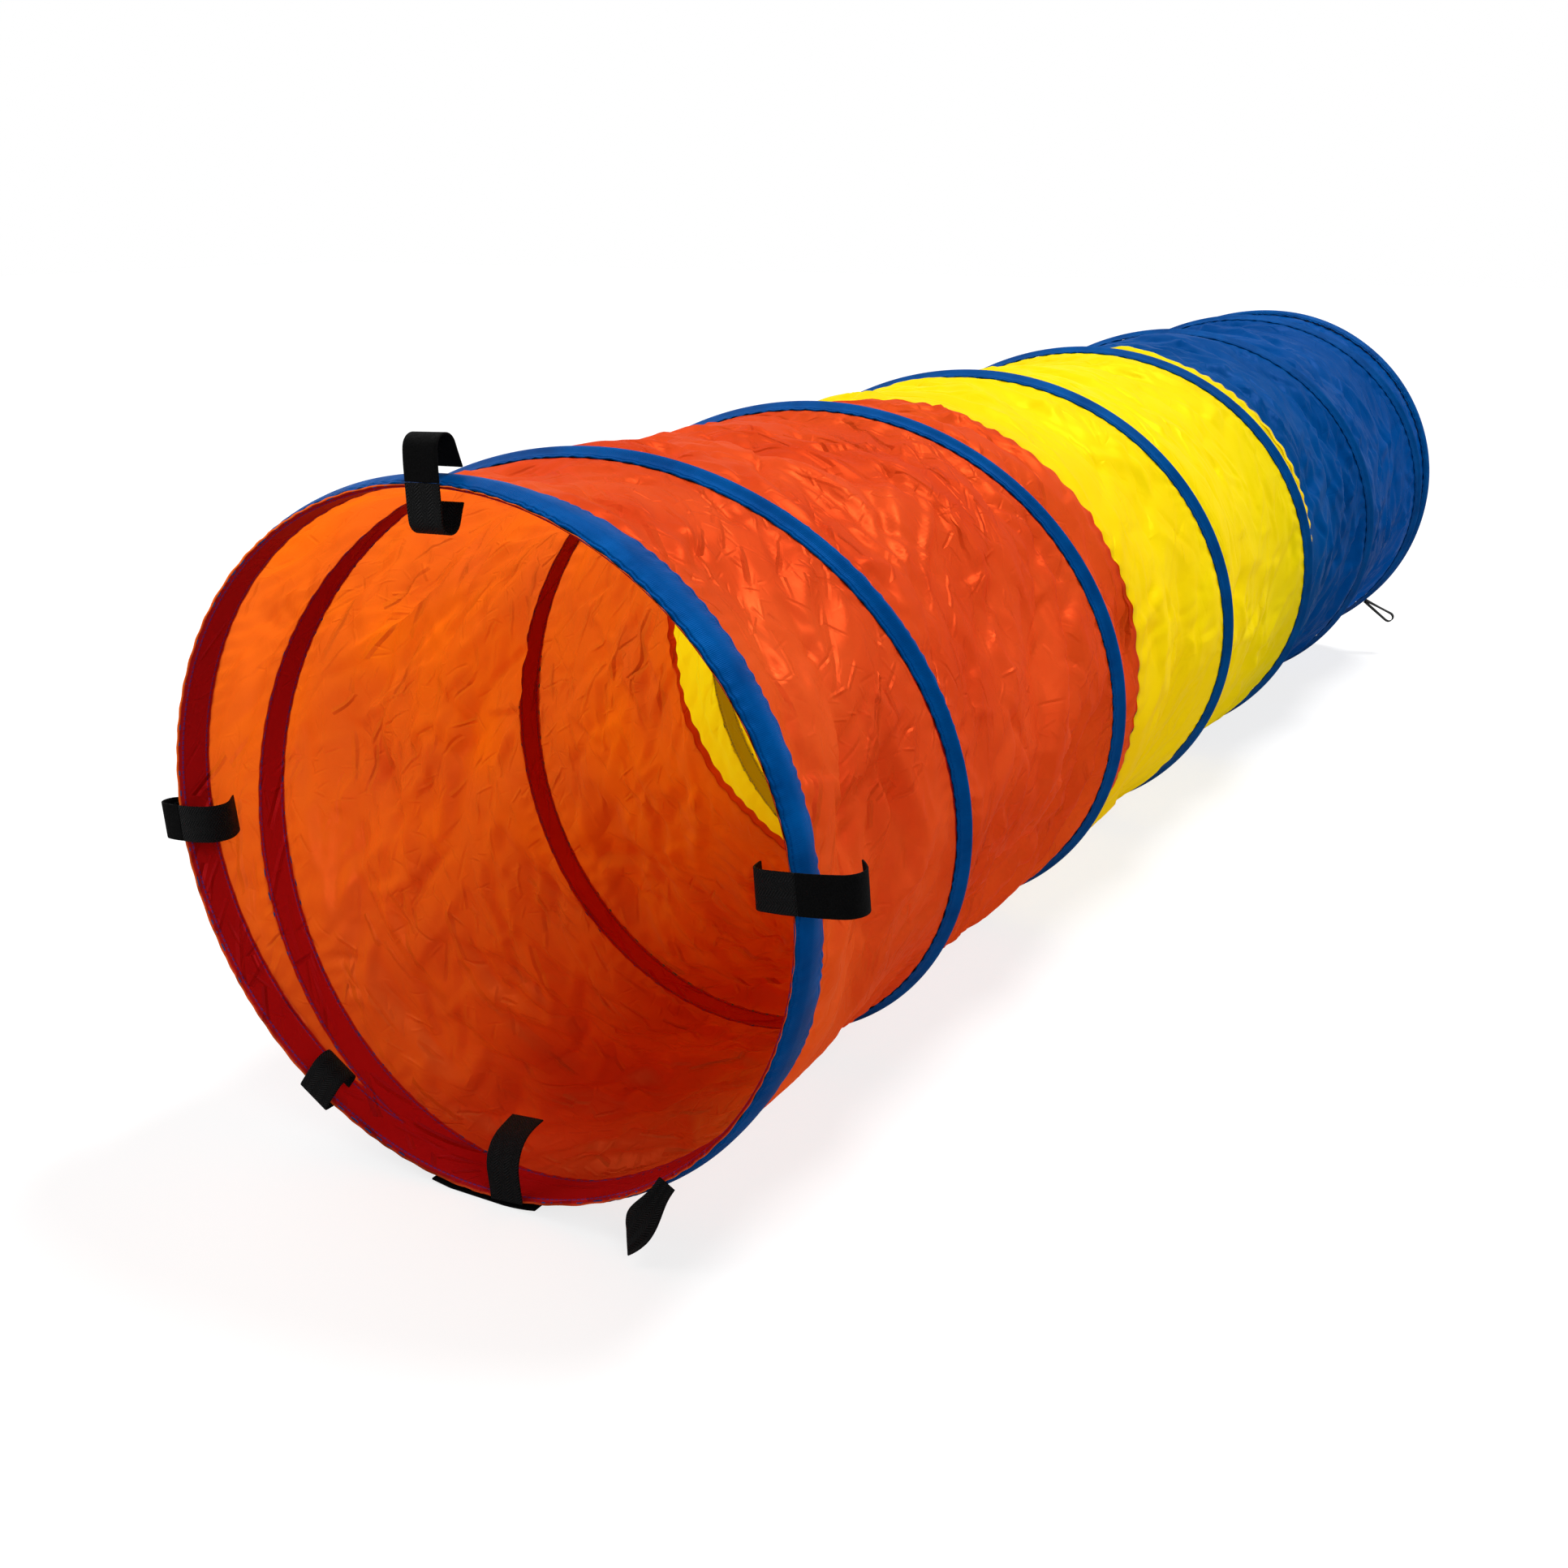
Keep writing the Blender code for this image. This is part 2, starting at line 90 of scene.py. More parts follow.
class Slot(Enum):
    """Material slots of the record, passed with the pieces here."""

    ORANGE = "orange_cloth"
    YELLOW = "yellow_cloth"
    BLUE = "blue_cloth"
    TAPE = "blue_tape"
    STRAP = "black_strap"
    SPRING = "spring_steel"


class Face(Enum):
    """What the outer face of a strap is made of."""

    FUZZY_LOOP = "fuzzy_loop"
    TINY_HOOKS = "tiny_hooks"
    WEBBING = "webbing"


# Shape of the tunnel

ORANGE_END = 0.590
YELLOW_END = 1.163
LOOP_LENGTH = 0.045

# Middle and reach in degrees of each loosely sewn stretch of the mouth's tape, and how much
# wider the tape lies there
LOOSE_STRETCHES = ((58, 30, 0.55), (-30, 32, 0.95))


@dataclass(frozen=True)
class Tunnel:
    """Sizes of the tunnel and the path of its coil.

    Attributes:
        length: Distance from the mouth to the far end.
        spread: Width of the hoops as a share of their height.
        axis_height: Height of the axis above the floor.
        cloth_radius: Radius of the cloth.
        ridge_radius: Radius of the tapes over the wires.
        wire_radius: Radius of the coil, to the middle of its wire.
        wire_diameter: Thickness of the wire.
        coil_turns: Turns of the coil from hoop to hoop.
        coil_start: Angle at which the coil leaves the mouth's hoop.
        coil_ease: Turns over which the coil eases away from a hoop.
        coil_inset: Distance from either end at which the coil meets the hoop.
        hoop_tape: Width of a hoop's tape.
        coil_tape: Width of the coil's tape.
        mouth_sag: How deep the cloth hangs in between two tapes at the mouth.
        far_sag: How deep it hangs in at the far end.
    """

    length: float = 1.800
    spread: float = 0.474 / 0.460
    axis_height: float = 0.2315
    cloth_radius: float = 0.2242
    ridge_radius: float = 0.2305
    wire_radius: float = 0.2274
    wire_diameter: float = 0.0025
    coil_turns: float = 6.14
    coil_start: float = math.radians(-52.4)
    coil_ease: float = 0.145
    coil_inset: float = 0.0143
    hoop_tape: float = 0.025
    coil_tape: float = 0.025
    mouth_sag: float = 0.003
    far_sag: float = 0.010

    @property
    def pitch(self) -> float:
        """Return how far the coil advances in a turn."""
        return (self.length - 2 * self.coil_inset) / (self.coil_turns - 2 * self.coil_ease)

    @property
    def girth(self) -> float:
        """Return the distance round the cloth."""
        return math.pi * self.cloth_radius * (1 + self.spread)

    @property
    def tape_round(self) -> float:
        """Return the length of one turn of tape."""
        return 2 * math.pi * self.ridge_radius

    def mouth_tape(self, angle: Array) -> Array:
        """Find how wide the mouth's tape lies: wider where it's sewn loosely.

        Args:
            angle: Angle round the axis.

        Returns:
            Width of the tape at each angle.
        """
        width = np.full_like(angle, self.hoop_tape)
        for middle, reach, share in LOOSE_STRETCHES:
            away = (np.degrees(angle) - middle + 180) % 360 - 180
            width *= 1 + share * np.exp(-(away / reach) ** 2)
        return width

    def coil_along(self, turn: Array) -> Array:
        """Find how far the coil is from the mouth.

        Args:
            turn: Turns wound from the mouth's hoop.

        Returns:
            Distance from the plane of the mouth.
        """
        ease, turns = self.coil_ease, self.coil_turns
        held = np.clip(turn, 0.0, turns)
        leaving = ease * (1 - np.exp(-held / ease))
        meeting = ease * (np.exp(-(turns - held) / ease) - math.exp(-turns / ease))
        return self.coil_inset + self.pitch * (held - leaving - meeting)

    def coil_angle(self, turn: Array) -> Array:
        """Return the angle of the coil after so many turns."""
        return self.coil_start - 2 * math.pi * turn

    def place(self, radius: Array, angle: Array, along: Array) -> Array:
        """Turn positions round the tunnel into points.

        Args:
            radius: Distance from the axis.
            angle: Angle round the axis.
            along: Distance from the plane of the mouth.

        Returns:
            Points, one in each row.
        """
        return np.column_stack((radius * np.cos(angle) * self.spread, along - self.length / 2,
                                self.axis_height + radius * np.sin(angle)))

    def nearest_tape(self, angle: Array, along: Array) -> tuple[Array, Array, Array]:
        """Find where each point of the cloth lies beside the tapes.

        Args:
            angle: Angle round the axis.
            along: Distance from the plane of the mouth.

        Returns:
            Distance outside the nearest tape's edge, negative under the tape, the distance run
            along that tape, and how deep the cloth hangs in there.
        """
        first = ((self.coil_start - angle) / (2 * math.pi)) % 1.0
        half = self.coil_tape / 2
        before = self.mouth_tape(angle)
        outside = np.minimum(np.abs(along - before / 2) - before / 2,
                             np.abs(self.length - along - self.hoop_tape / 2)
                             - self.hoop_tape / 2)
        run = angle * self.ridge_radius
        hang = np.zeros_like(along)
        full_span = self.pitch - self.coil_tape
        deepest = self.mouth_sag + (self.far_sag - self.mouth_sag) * along / self.length
        for whole in range(int(self.coil_turns) + 2):
            turn = first + whole
            centre = self.coil_along(turn)
            real = turn <= self.coil_turns
            distance = np.where(real, np.abs(along - centre) - half, 1.0)
            closer = distance < outside
            run = np.where(closer, turn * self.tape_round, run)
            outside = np.where(closer, distance, outside)
            after = np.where(real, centre - half, self.length - self.hoop_tape)
            span = np.maximum(after - before, 1e-6)
            share = (along - before) / span
            inside = (share > 0) & (share < 1)
            depth = deepest * np.minimum(1.0, span / full_span)
            hang = np.where(inside, depth * 4 * share * (1 - share), hang)
            before = np.maximum(before, np.where(real, centre + half, self.length))
        return outside, run, hang


class Waves:
    """A smooth random field on the tunnel that closes on itself round the axis."""

    def __init__(self, rng: np.random.Generator, length: float, count: int = 14) -> None:
        """Choose the waves.

        Args:
            rng: Source of the random choices.
            length: Typical distance from crest to crest.
            count: Number of waves that are added.
        """
        heading = rng.uniform(0, 2 * math.pi, count)
        number = 2 * math.pi / (length * rng.uniform(0.7, 1.5, count))
        self.around = np.round(number * np.cos(heading) * Tunnel.cloth_radius)
        self.along = number * np.sin(heading)
        self.phase = rng.uniform(0, 2 * math.pi, count)
        self.scale = math.sqrt(2 / count)

    def at(self, angle: Array, along: Array) -> Array:
        """Find the field's values, of about unit size.

        Args:
            angle: Angle round the axis.
            along: Distance from the plane of the mouth.

        Returns:
            The value at each point.
        """
        total = np.zeros_like(angle)
        for around, forward, phase in zip(self.around, self.along, self.phase):
            total += np.cos(around * angle + forward * along + phase)
        return total * self.scale


@dataclass(frozen=True)
class CreasePlan:
    """Creases of one size in the cloth's mesh.

    Attributes:
        density: How many there are to a square metre.
        length: Typical length.
        width: Typical width of either side.
        slope: How steep the steepest are.
        wander: How far their headings stray, in radians.
    """

    density: float
    length: float
    width: float
    slope: float
    wander: float


CREASES = (
    CreasePlan(110, 0.190, 0.026, 0.36, 0.35),
    CreasePlan(420, 0.110, 0.013, 0.46, 0.45),
    CreasePlan(1700, 0.058, 0.0075, 0.50, 0.60),
)

# How far the creases slope down at the tunnel's sides, and how high the cloth swells in between
DROOP = math.radians(32)
SWELL = 0.0018


class Crinkles:
    """Creases of thin cloth: straight folds with a sharp crest, which die out at their ends."""

    def __init__(self, seed: int, start: float, end: float) -> None:
        """Choose the creases.

        Args:
            seed: Seed of the random choices.
            start: Where the cloth starts along the tunnel.
            end: Where it ends.
        """
        rng = np.random.default_rng(seed)
        self.swell = Waves(rng, 0.16)
        self.folds: list[tuple[float, ...]] = []
        area = (end - start) * Tunnel.cloth_radius * 2 * math.pi
        for plan in CREASES:
            for _ in range(round(plan.density * area)):
                angle = rng.uniform(-math.pi, math.pi)
                size = rng.uniform(0.5, 1.4)
                self.folds.append((
                    angle, rng.uniform(start, end),
                    -DROOP * math.cos(angle) + rng.normal(0, plan.wander),
                    plan.length / 2 * size, plan.width * size * rng.uniform(0.6, 1.3),
                    plan.slope * rng.choice((-1.0, 1.0)) * rng.uniform(0.4, 1.0),
                    rng.uniform(0.35, 1.65), rng.uniform(-0.25, 0.25)))

    def at(self, angle: Array, along: Array) -> Array:
        """Find how far the creases lift the cloth.

        Args:
            angle: Angle round the axis.
            along: Distance from the plane of the mouth.

        Returns:
            Height of the cloth at each point.
        """
        total = SWELL * self.swell.at(angle, along)
        for middle, place, heading, reach, width, slope, uneven, bow in self.folds:
            near = np.flatnonzero(np.abs(along - place) < reach)
            aside = ((middle - angle[near] + math.pi) % (2 * math.pi) - math.pi
                     ) * Tunnel.cloth_radius
            forward = along[near] - place
            run = (aside * math.cos(heading) + forward * math.sin(heading)) / reach
            off = forward * math.cos(heading) - aside * math.sin(heading) + bow * reach * run * run
            sides = np.where(off > 0, width * uneven, width * (2 - uneven))
            fold = np.clip(1 - np.abs(off) / sides, 0, 1) * np.clip(1 - run * run, 0, 1)
            total[near] += slope * width * fold
        return total


def smooth_step(value: Array, low: float, high: float) -> Array:
    """Return 0 below low, 1 above high and a smooth rise between."""
    share = np.clip((value - low) / (high - low), 0.0, 1.0)
    return share * share * (3 - 2 * share)


# Materials

# Step from stitch to stitch and how far the seam line lies inside a tape's edge, in millimetres
STITCH_STEP = 3.6
STITCH_INSET = 2.4

# Specular level that keeps the white world's film off cloth that isn't glossy
DULL = 0.01


class NodeGraph:
    """The nodes of a material or a world."""

    def __init__(self, tree: bpy.types.NodeTree) -> None:
        """Start with no nodes.

        Args:
            tree: Tree that the nodes are added to.
        """
        self.tree = tree
        self.tree.nodes.clear()

    def node(self, kind: str, sockets: dict[Any, Any] | None = None, **settings: Any
             ) -> bpy.types.Node:
        """Add a node.

        Args:
            kind: Blender's name of the node.
            sockets: Values or links for its inputs, by name or number.
            **settings: Properties of the node.

        Returns:
            The node.
        """
        made = self.tree.nodes.new(kind)
        for key, value in settings.items():
            setattr(made, key, value)
        for key, value in (sockets or {}).items():
            if isinstance(value, Socket):
                self.tree.links.new(value, made.inputs[key])
            else:
                made.inputs[key].default_value = value
        return made

    def maths(self, operation: str, first: Any, second: Any = 0.0, third: Any = 0.0) -> Socket:
        """Return the result of a Math node on up to three values."""
        return self.node("ShaderNodeMath", {0: first, 1: second, 2: third},
                         operation=operation).outputs[0]

    def attribute(self, name: str) -> Socket:
        """Return a number that the mesh stores at its points."""
        return self.node("ShaderNodeAttribute", attribute_name=name).outputs["Fac"]

    def ramp(self, value: Any, low: float, high: float, start: float = 0.0, end: float = 1.0
             ) -> Socket:
        """Return value moved from the range low to high into start to end, and held there."""
        return self.node("ShaderNodeMapRange",
                         {"Value": value, "From Min": low, "From Max": high, "To Min": start,
                          "To Max": end}, clamp=True).outputs[0]

    def mix(self, share: Any, first: Any, second: Any) -> Socket:
        """Return a mix of two colours."""
        colours = [value if isinstance(value, Socket) else (*value, 1.0)
                   for value in (first, second)]
        return self.node("ShaderNodeMix", {0: share, 6: colours[0], 7: colours[1]},
                         data_type="RGBA").outputs[2]

    def blend(self, share: Any, first: Socket, second: Socket) -> Socket:
        """Return a mix of two shaders."""
        return self.node("ShaderNodeMixShader", {0: share, 1: first, 2: second}).outputs[0]

    def pattern_map(self, across: float, down: float, turn: float = 0.0) -> Socket:
        """Scale and turn the piece's own map for a pattern.

        Args:
            across: Cells of the pattern in a metre, across it.
            down: Cells of the pattern in a metre, down it.
            turn: Angle that the pattern is turned by.

        Returns:
            The map.
        """
        uv = self.node("ShaderNodeUVMap", uv_map="cloth").outputs[0]
        turned = self.node("ShaderNodeMapping", {"Vector": uv, "Rotation": (0, 0, turn)})
        return self.node("ShaderNodeMapping", {"Vector": turned.outputs[0],
                                               "Scale": (across, down, 1.0)}).outputs[0]

    def noise(self, vector: Any, scale: float, detail: float = 3.0, roughness: float = 0.55
              ) -> Socket:
        """Return the value of a noise texture."""
        return self.node("ShaderNodeTexNoise", {"Vector": vector, "Scale": scale,
                                                "Detail": detail, "Roughness": roughness}
                         ).outputs[0]

    def object_place(self) -> Socket:
        """Return the object's own coordinates."""
        return self.node("ShaderNodeTexCoord").outputs["Object"]

    def bump(self, height: Any, depth: float, strength: float = 1.0) -> Socket:
        """Return a normal that follows a height, where depth is the metres to a unit of it."""
        return self.node("ShaderNodeBump", {"Height": height, "Strength": strength,
                                            "Distance": depth}).outputs[0]

    def stitches(self, off: Socket, run: Socket, outer: float, inner: float,
                 filled: float) -> Socket:
        """Mark the stitches of a seam line with 1 and all beside and between them with 0.

        Args:
            off: Distance from the seam line, in millimetres.
            run: Distance along it, in millimetres.
            outer: Distance at which a stitch has ended.
            inner: Distance within which it is whole.
            filled: Share of each step that the thread fills.

        Returns:
            The mark.
        """
        step = self.maths("FRACT", self.maths("DIVIDE", run, STITCH_STEP))
        return self.maths("MULTIPLY", self.ramp(off, outer, inner),
                          self.maths("LESS_THAN", step, filled))


class Finish(NodeGraph):
    """A procedural material, built node by node."""

    def __init__(self, name: str) -> None:
        """Start an empty material.

        Args:
            name: Name of the material.
        """
        self.material = bpy.data.materials.new(name)
        self.material.use_nodes = True
        super().__init__(self.material.node_tree)

    def finish(self, shader: Socket) -> bpy.types.Material:
        """Show a shader and return the material."""
        self.node("ShaderNodeOutputMaterial", {"Surface": shader})
        return self.material


@dataclass(frozen=True)
class FineFolds:
    """Folds of one size in the cloth's material: a straight one in each cell.

    Attributes:
        cells: Cells in a metre.
        lean: How far their headings differ, in radians.
        reach: Half their length, in cells.
        width: Half their width, in cells.
        height: Height of the highest, in millimetres.
        patches: Scale of the patches that they gather in.
    """

    cells: float
    lean: float
    reach: float
    width: float
    height: float
    patches: float


FINE_FOLDS = (
    FineFolds(19.0, 0.8, 0.90, 0.06, 2.9, 6.0),
    FineFolds(31.0, 1.2, 0.80, 0.07, 1.6, 9.0),
    FineFolds(50.0, 2.0, 0.70, 0.09, 0.9, 12.0),
    FineFolds(82.0, 3.0, 0.65, 0.12, 0.4, 17.0),
)


@dataclass(frozen=True)
class Taffeta:
    """Thin glossy woven cloth that light shines through.

    Attributes:
        name: Name of the material.
        colour: Colour of most of the cloth.
        shade: Darker colour that it wanders to.
        glow: Colour of the light that comes through.
        tape_shade: Painted shade: darker colour where a tape lies behind the cloth and keeps light
            from coming through.
        seam_line: Colour at the seam to the next panel.
        stitch: Colour of the thread.
        gleam: Tint of the sheen.
        satin: Strength of the sheen.
        relief: How deep the fine folds, weave and stitches are, as a multiple of their heights.
        through: Share of the open cloth that passes light.
    """

    name: str
    colour: Colour
    shade: Colour
    glow: Colour
    tape_shade: Colour
    seam_line: Colour
    stitch: Colour
    gleam: Colour
    satin: float
    relief: float
    through: float

    def build(self) -> bpy.types.Material:
        """Build the cloth's material from its map and the attributes of the panels.

        Returns:
            The material.
        """
        made = Finish(self.name)
        place = made.object_place()
        wander = made.noise(place, 9.0, 2.0)
        fine = made.noise(place, 46.0, 4.0, 0.6)
        crease = self._creases(made, place)
        edge = made.attribute("beside_tape")
        tape_shade = made.ramp(edge, 0.6, -0.4)
        off = made.maths("ABSOLUTE", made.maths("ADD", edge, STITCH_INSET))
        stitch = made.stitches(off, made.attribute("tape_run"), 0.75, 0.35, 0.72)
        tone = made.mix(made.ramp(wander, 0.35, 0.65), self.colour, self.shade)
        tone = made.mix(made.ramp(fine, 0.4, 0.75, 0.0, 0.35), tone, self.shade)
        # Painted shade: the cloth goes darker where a tape lies behind it, for the light that the
        # tape keeps from coming through
        tone = made.mix(tape_shade, tone, self.tape_shade)
        tone = made.mix(made.ramp(made.attribute("hem"), 0.2, 0.8), tone, self.seam_line)
        tone = made.mix(stitch, tone, self.stitch)
        weave = made.noise(made.pattern_map(900.0, 2600.0), 1.0, 1.0)
        height = made.maths("MULTIPLY_ADD", weave, 0.02, crease)
        height = made.maths("MULTIPLY_ADD", made.ramp(off, 1.6, 0.2), -0.4, height)
        normal = made.bump(height, 0.001 * self.relief)
        gloss = made.ramp(fine, 0.3, 0.7, 0.36, 0.46)
        cloth = made.node("ShaderNodeBsdfPrincipled",
                          {"Base Color": tone, "Metallic": self.satin, "Roughness": gloss,
                           "IOR": 1.5, "Specular IOR Level": DULL,
                           "Specular Tint": (*self.gleam, 1.0), "Normal": normal})
        glow = made.mix(made.ramp(wander, 0.3, 0.7, 0.0, 0.5), self.glow, self.colour)
        light = made.node("ShaderNodeBsdfTranslucent", {"Color": glow, "Normal": normal})
        open_cloth = made.maths("SUBTRACT", 1.0, made.maths("MULTIPLY", tape_shade, 0.96))
        share = made.maths("MULTIPLY", open_cloth, self.through)
        return made.finish(made.blend(share, cloth.outputs[0], light.outputs[0]))

    @staticmethod
    def _creases(made: Finish, place: Socket) -> Socket:
        """Add the small creases that are finer than the mesh.

        Args:
            made: Material to add to.
            place: The object's own coordinates.

        Returns:
            Height of the creases, in millimetres.
        """
        total: Any = 0.0
        sideways = made.node("ShaderNodeSeparateXYZ", {0: place}).outputs[0]
        for folds in FINE_FOLDS:
            spot = made.pattern_map(folds.cells, folds.cells)
            cell = made.node("ShaderNodeTexVoronoi", {"Vector": spot, "Scale": 1.0},
                             voronoi_dimensions="2D")
            chance = made.node("ShaderNodeSeparateColor", {0: cell.outputs["Color"]}).outputs
            offset = made.node("ShaderNodeVectorMath", {0: spot, 1: cell.outputs["Position"]},
                               operation="SUBTRACT").outputs[0]
            turn = made.maths("MULTIPLY_ADD", sideways, DROOP / Tunnel.cloth_radius,
                              made.ramp(chance[0], 0.0, 1.0, -folds.lean / 2, folds.lean / 2))
            local = made.node("ShaderNodeVectorRotate", {"Vector": offset, "Angle": turn},
                              rotation_type="Z_AXIS").outputs[0]
            down, off, _ = made.node("ShaderNodeSeparateXYZ", {0: local}).outputs
            across = made.ramp(made.maths("ABSOLUTE", off), 0.0, folds.width, 1.0, 0.0)
            ended = made.maths("POWER", made.maths("DIVIDE", down, folds.reach), 2.0)
            fold = made.maths("MULTIPLY", across, made.ramp(ended, 0.0, 1.0, 1.0, 0.0))
            side = made.maths("SIGN", made.maths("SUBTRACT", chance[1], 0.5))
            size = made.maths("MULTIPLY", side, made.ramp(chance[2], 0.0, 1.0,
                                                          folds.height * 0.3, folds.height))
            here = made.ramp(made.noise(place, folds.patches, 1.0), 0.44, 0.60, 0.05, 1.0)
            total = made.maths("MULTIPLY_ADD", fold, made.maths("MULTIPLY", here, size), total)
        return total


@dataclass(frozen=True)
class BindingTape:
    """Folded woven tape with a line of stitches near each edge."""

    name: str = "binding_tape"
    colour: Colour = (0.0, 0.066, 0.255)
    shade: Colour = (0.0, 0.040, 0.170)
    # Colour of the stitches: the thread's own colour, darkened with painted shade for the dimples
    # that they press in
    thread: Colour = (0.0, 0.040, 0.18)
    gleam: Colour = (0.03, 0.25, 0.7)

    def build(self) -> bpy.types.Material:
        """Build the tape's material. Its map runs along the tape and across it.

        Returns:
            The material.
        """
        made = Finish(self.name)
        place = made.object_place()
        across = made.attribute("tape_edge")
        # The tape goes darker in random patches
        tape_blotches = made.noise(place, 30.0, 3.0)
        tone = made.mix(made.ramp(tape_blotches, 0.35, 0.7), self.colour, self.shade)
        off = made.maths("ABSOLUTE", made.maths("SUBTRACT", across, STITCH_INSET))
        stitch = made.stitches(off, made.attribute("tape_run"), 0.6, 0.3, 0.7)
        # The stitches are drawn in dark thread: partly the thread's own colour, partly painted
        # shade for the dimples that they press into the tape
        tone = made.mix(stitch, tone, self.thread)
        ribs = made.node("ShaderNodeTexWave", {"Vector": made.pattern_map(1.0, 0.0),
                                               "Scale": 320.0, "Distortion": 1.5},
                         wave_type="BANDS", bands_direction="X")
        pucker = made.noise(made.pattern_map(150.0, 40.0), 1.0, 2.0)
        height = made.maths("MULTIPLY", ribs.outputs[0], 0.10)
        height = made.maths("MULTIPLY_ADD", pucker, made.ramp(across, 6.0, 1.0, 0.35, 1.2),
                            height)
        height = made.maths("MULTIPLY_ADD", made.ramp(off, 1.2, 0.1), -0.5, height)
        cloth = made.node("ShaderNodeBsdfPrincipled",
                          {"Base Color": tone, "Metallic": 0.06, "Roughness": 0.42,
                           "IOR": 1.5, "Specular IOR Level": DULL,
                           "Specular Tint": (*self.gleam, 1.0),
                           "Normal": made.bump(height, 0.0009)})
        return made.finish(cloth.outputs[0])


@dataclass(frozen=True)
class Webbing:
    """Black woven strap, with a face of fuzzy loops, tiny hooks or plain herringbone."""

    face: Face

    def build(self) -> bpy.types.Material:
        """Build the strap's material. Its map runs along the strap and across it.

        Returns:
            The material.
        """
        made = Finish(self.face.value)
        place = made.object_place()
        if self.face is Face.FUZZY_LOOP:
            fuzz = made.noise(place, 900.0, 4.0, 0.7)
            clumps = made.noise(place, 210.0, 2.0)
            height = made.maths("MULTIPLY_ADD", clumps, 0.8, fuzz)
            tone = made.mix(made.ramp(fuzz, 0.4, 0.75), (0.0008, 0.0008, 0.0009),
                            (0.0045, 0.0045, 0.0048))
            roughness, deep = 0.95, 0.0012
        else:
            left = self._bands(made, math.radians(38))
            right = self._bands(made, math.radians(-38))
            stripe = made.node("ShaderNodeTexWave",
                               {"Vector": made.pattern_map(0.0, 1.0), "Scale": 36.0},
                               bands_direction="Y", wave_profile="TRI").outputs[0]
            side = made.ramp(stripe, 0.46, 0.54)
            opposite = made.maths("SUBTRACT", 1.0, side)
            height = made.maths("MULTIPLY_ADD", left, side,
                                made.maths("MULTIPLY", right, opposite))
            tone = made.mix(height, (0.0006, 0.0006, 0.0007), (0.0065, 0.0065, 0.0070))
            if self.face is Face.TINY_HOOKS:
                hooks = made.node("ShaderNodeTexVoronoi",
                                  {"Vector": made.pattern_map(1100.0, 1100.0),
                                   "Scale": 1.0}, voronoi_dimensions="2D", feature="F1")
                height = made.maths("MULTIPLY_ADD", hooks.outputs[0], 0.9, height)
                tone = made.mix(made.ramp(hooks.outputs[0], 0.35, 0.1, 0.0, 0.55), tone,
                                (0.014, 0.014, 0.015))
            roughness, deep = 0.55, 0.0007
        cloth = made.node("ShaderNodeBsdfPrincipled",
                          {"Base Color": tone, "Roughness": roughness, "IOR": 1.45,
                           "Specular IOR Level": 0.07, "Normal": made.bump(height, deep)})
        return made.finish(cloth.outputs[0])

    @staticmethod
    def _bands(made: Finish, turn: float) -> Socket:
        """Return the slanted ribs of one half of the herringbone."""
        return made.node("ShaderNodeTexWave", {"Vector": made.pattern_map(1.0, 1.0, turn),
                                               "Scale": 210.0}, bands_direction="X").outputs[0]


@dataclass(frozen=True)
class SpringSteel:
    """Drawn steel, with fine lines along it."""

    name: str
    roughness: float

    def build(self) -> bpy.types.Material:
        """Build the steel's material.

        Returns:
            The material.
        """
        made = Finish(self.name)
        place = made.object_place()
        lines = made.noise(place, 700.0, 3.0)
        stain = made.noise(place, 60.0, 3.0)
        tone = made.mix(made.ramp(stain, 0.4, 0.7), (0.56, 0.56, 0.57), (0.36, 0.35, 0.34))
        steel = made.node("ShaderNodeBsdfPrincipled",
                          {"Base Color": tone, "Metallic": 1.0,
                           "Roughness": made.ramp(lines, 0.3, 0.7, self.roughness,
                                                  self.roughness + 0.15),
                           "Normal": made.bump(lines, 0.0001, strength=0.5)})
        return made.finish(steel.outputs[0])


# Meshes


@contextmanager
def edited(mesh: bpy.types.Mesh) -> Iterator[bmesh.types.BMesh]:
    """Open a mesh for editing, and store the edit afterwards.

    Args:
        mesh: The mesh.

    Yields:
        The mesh as it is edited.
    """
    edit = bmesh.new()
    edit.from_mesh(mesh)
    yield edit
    edit.to_mesh(mesh)
    edit.free()


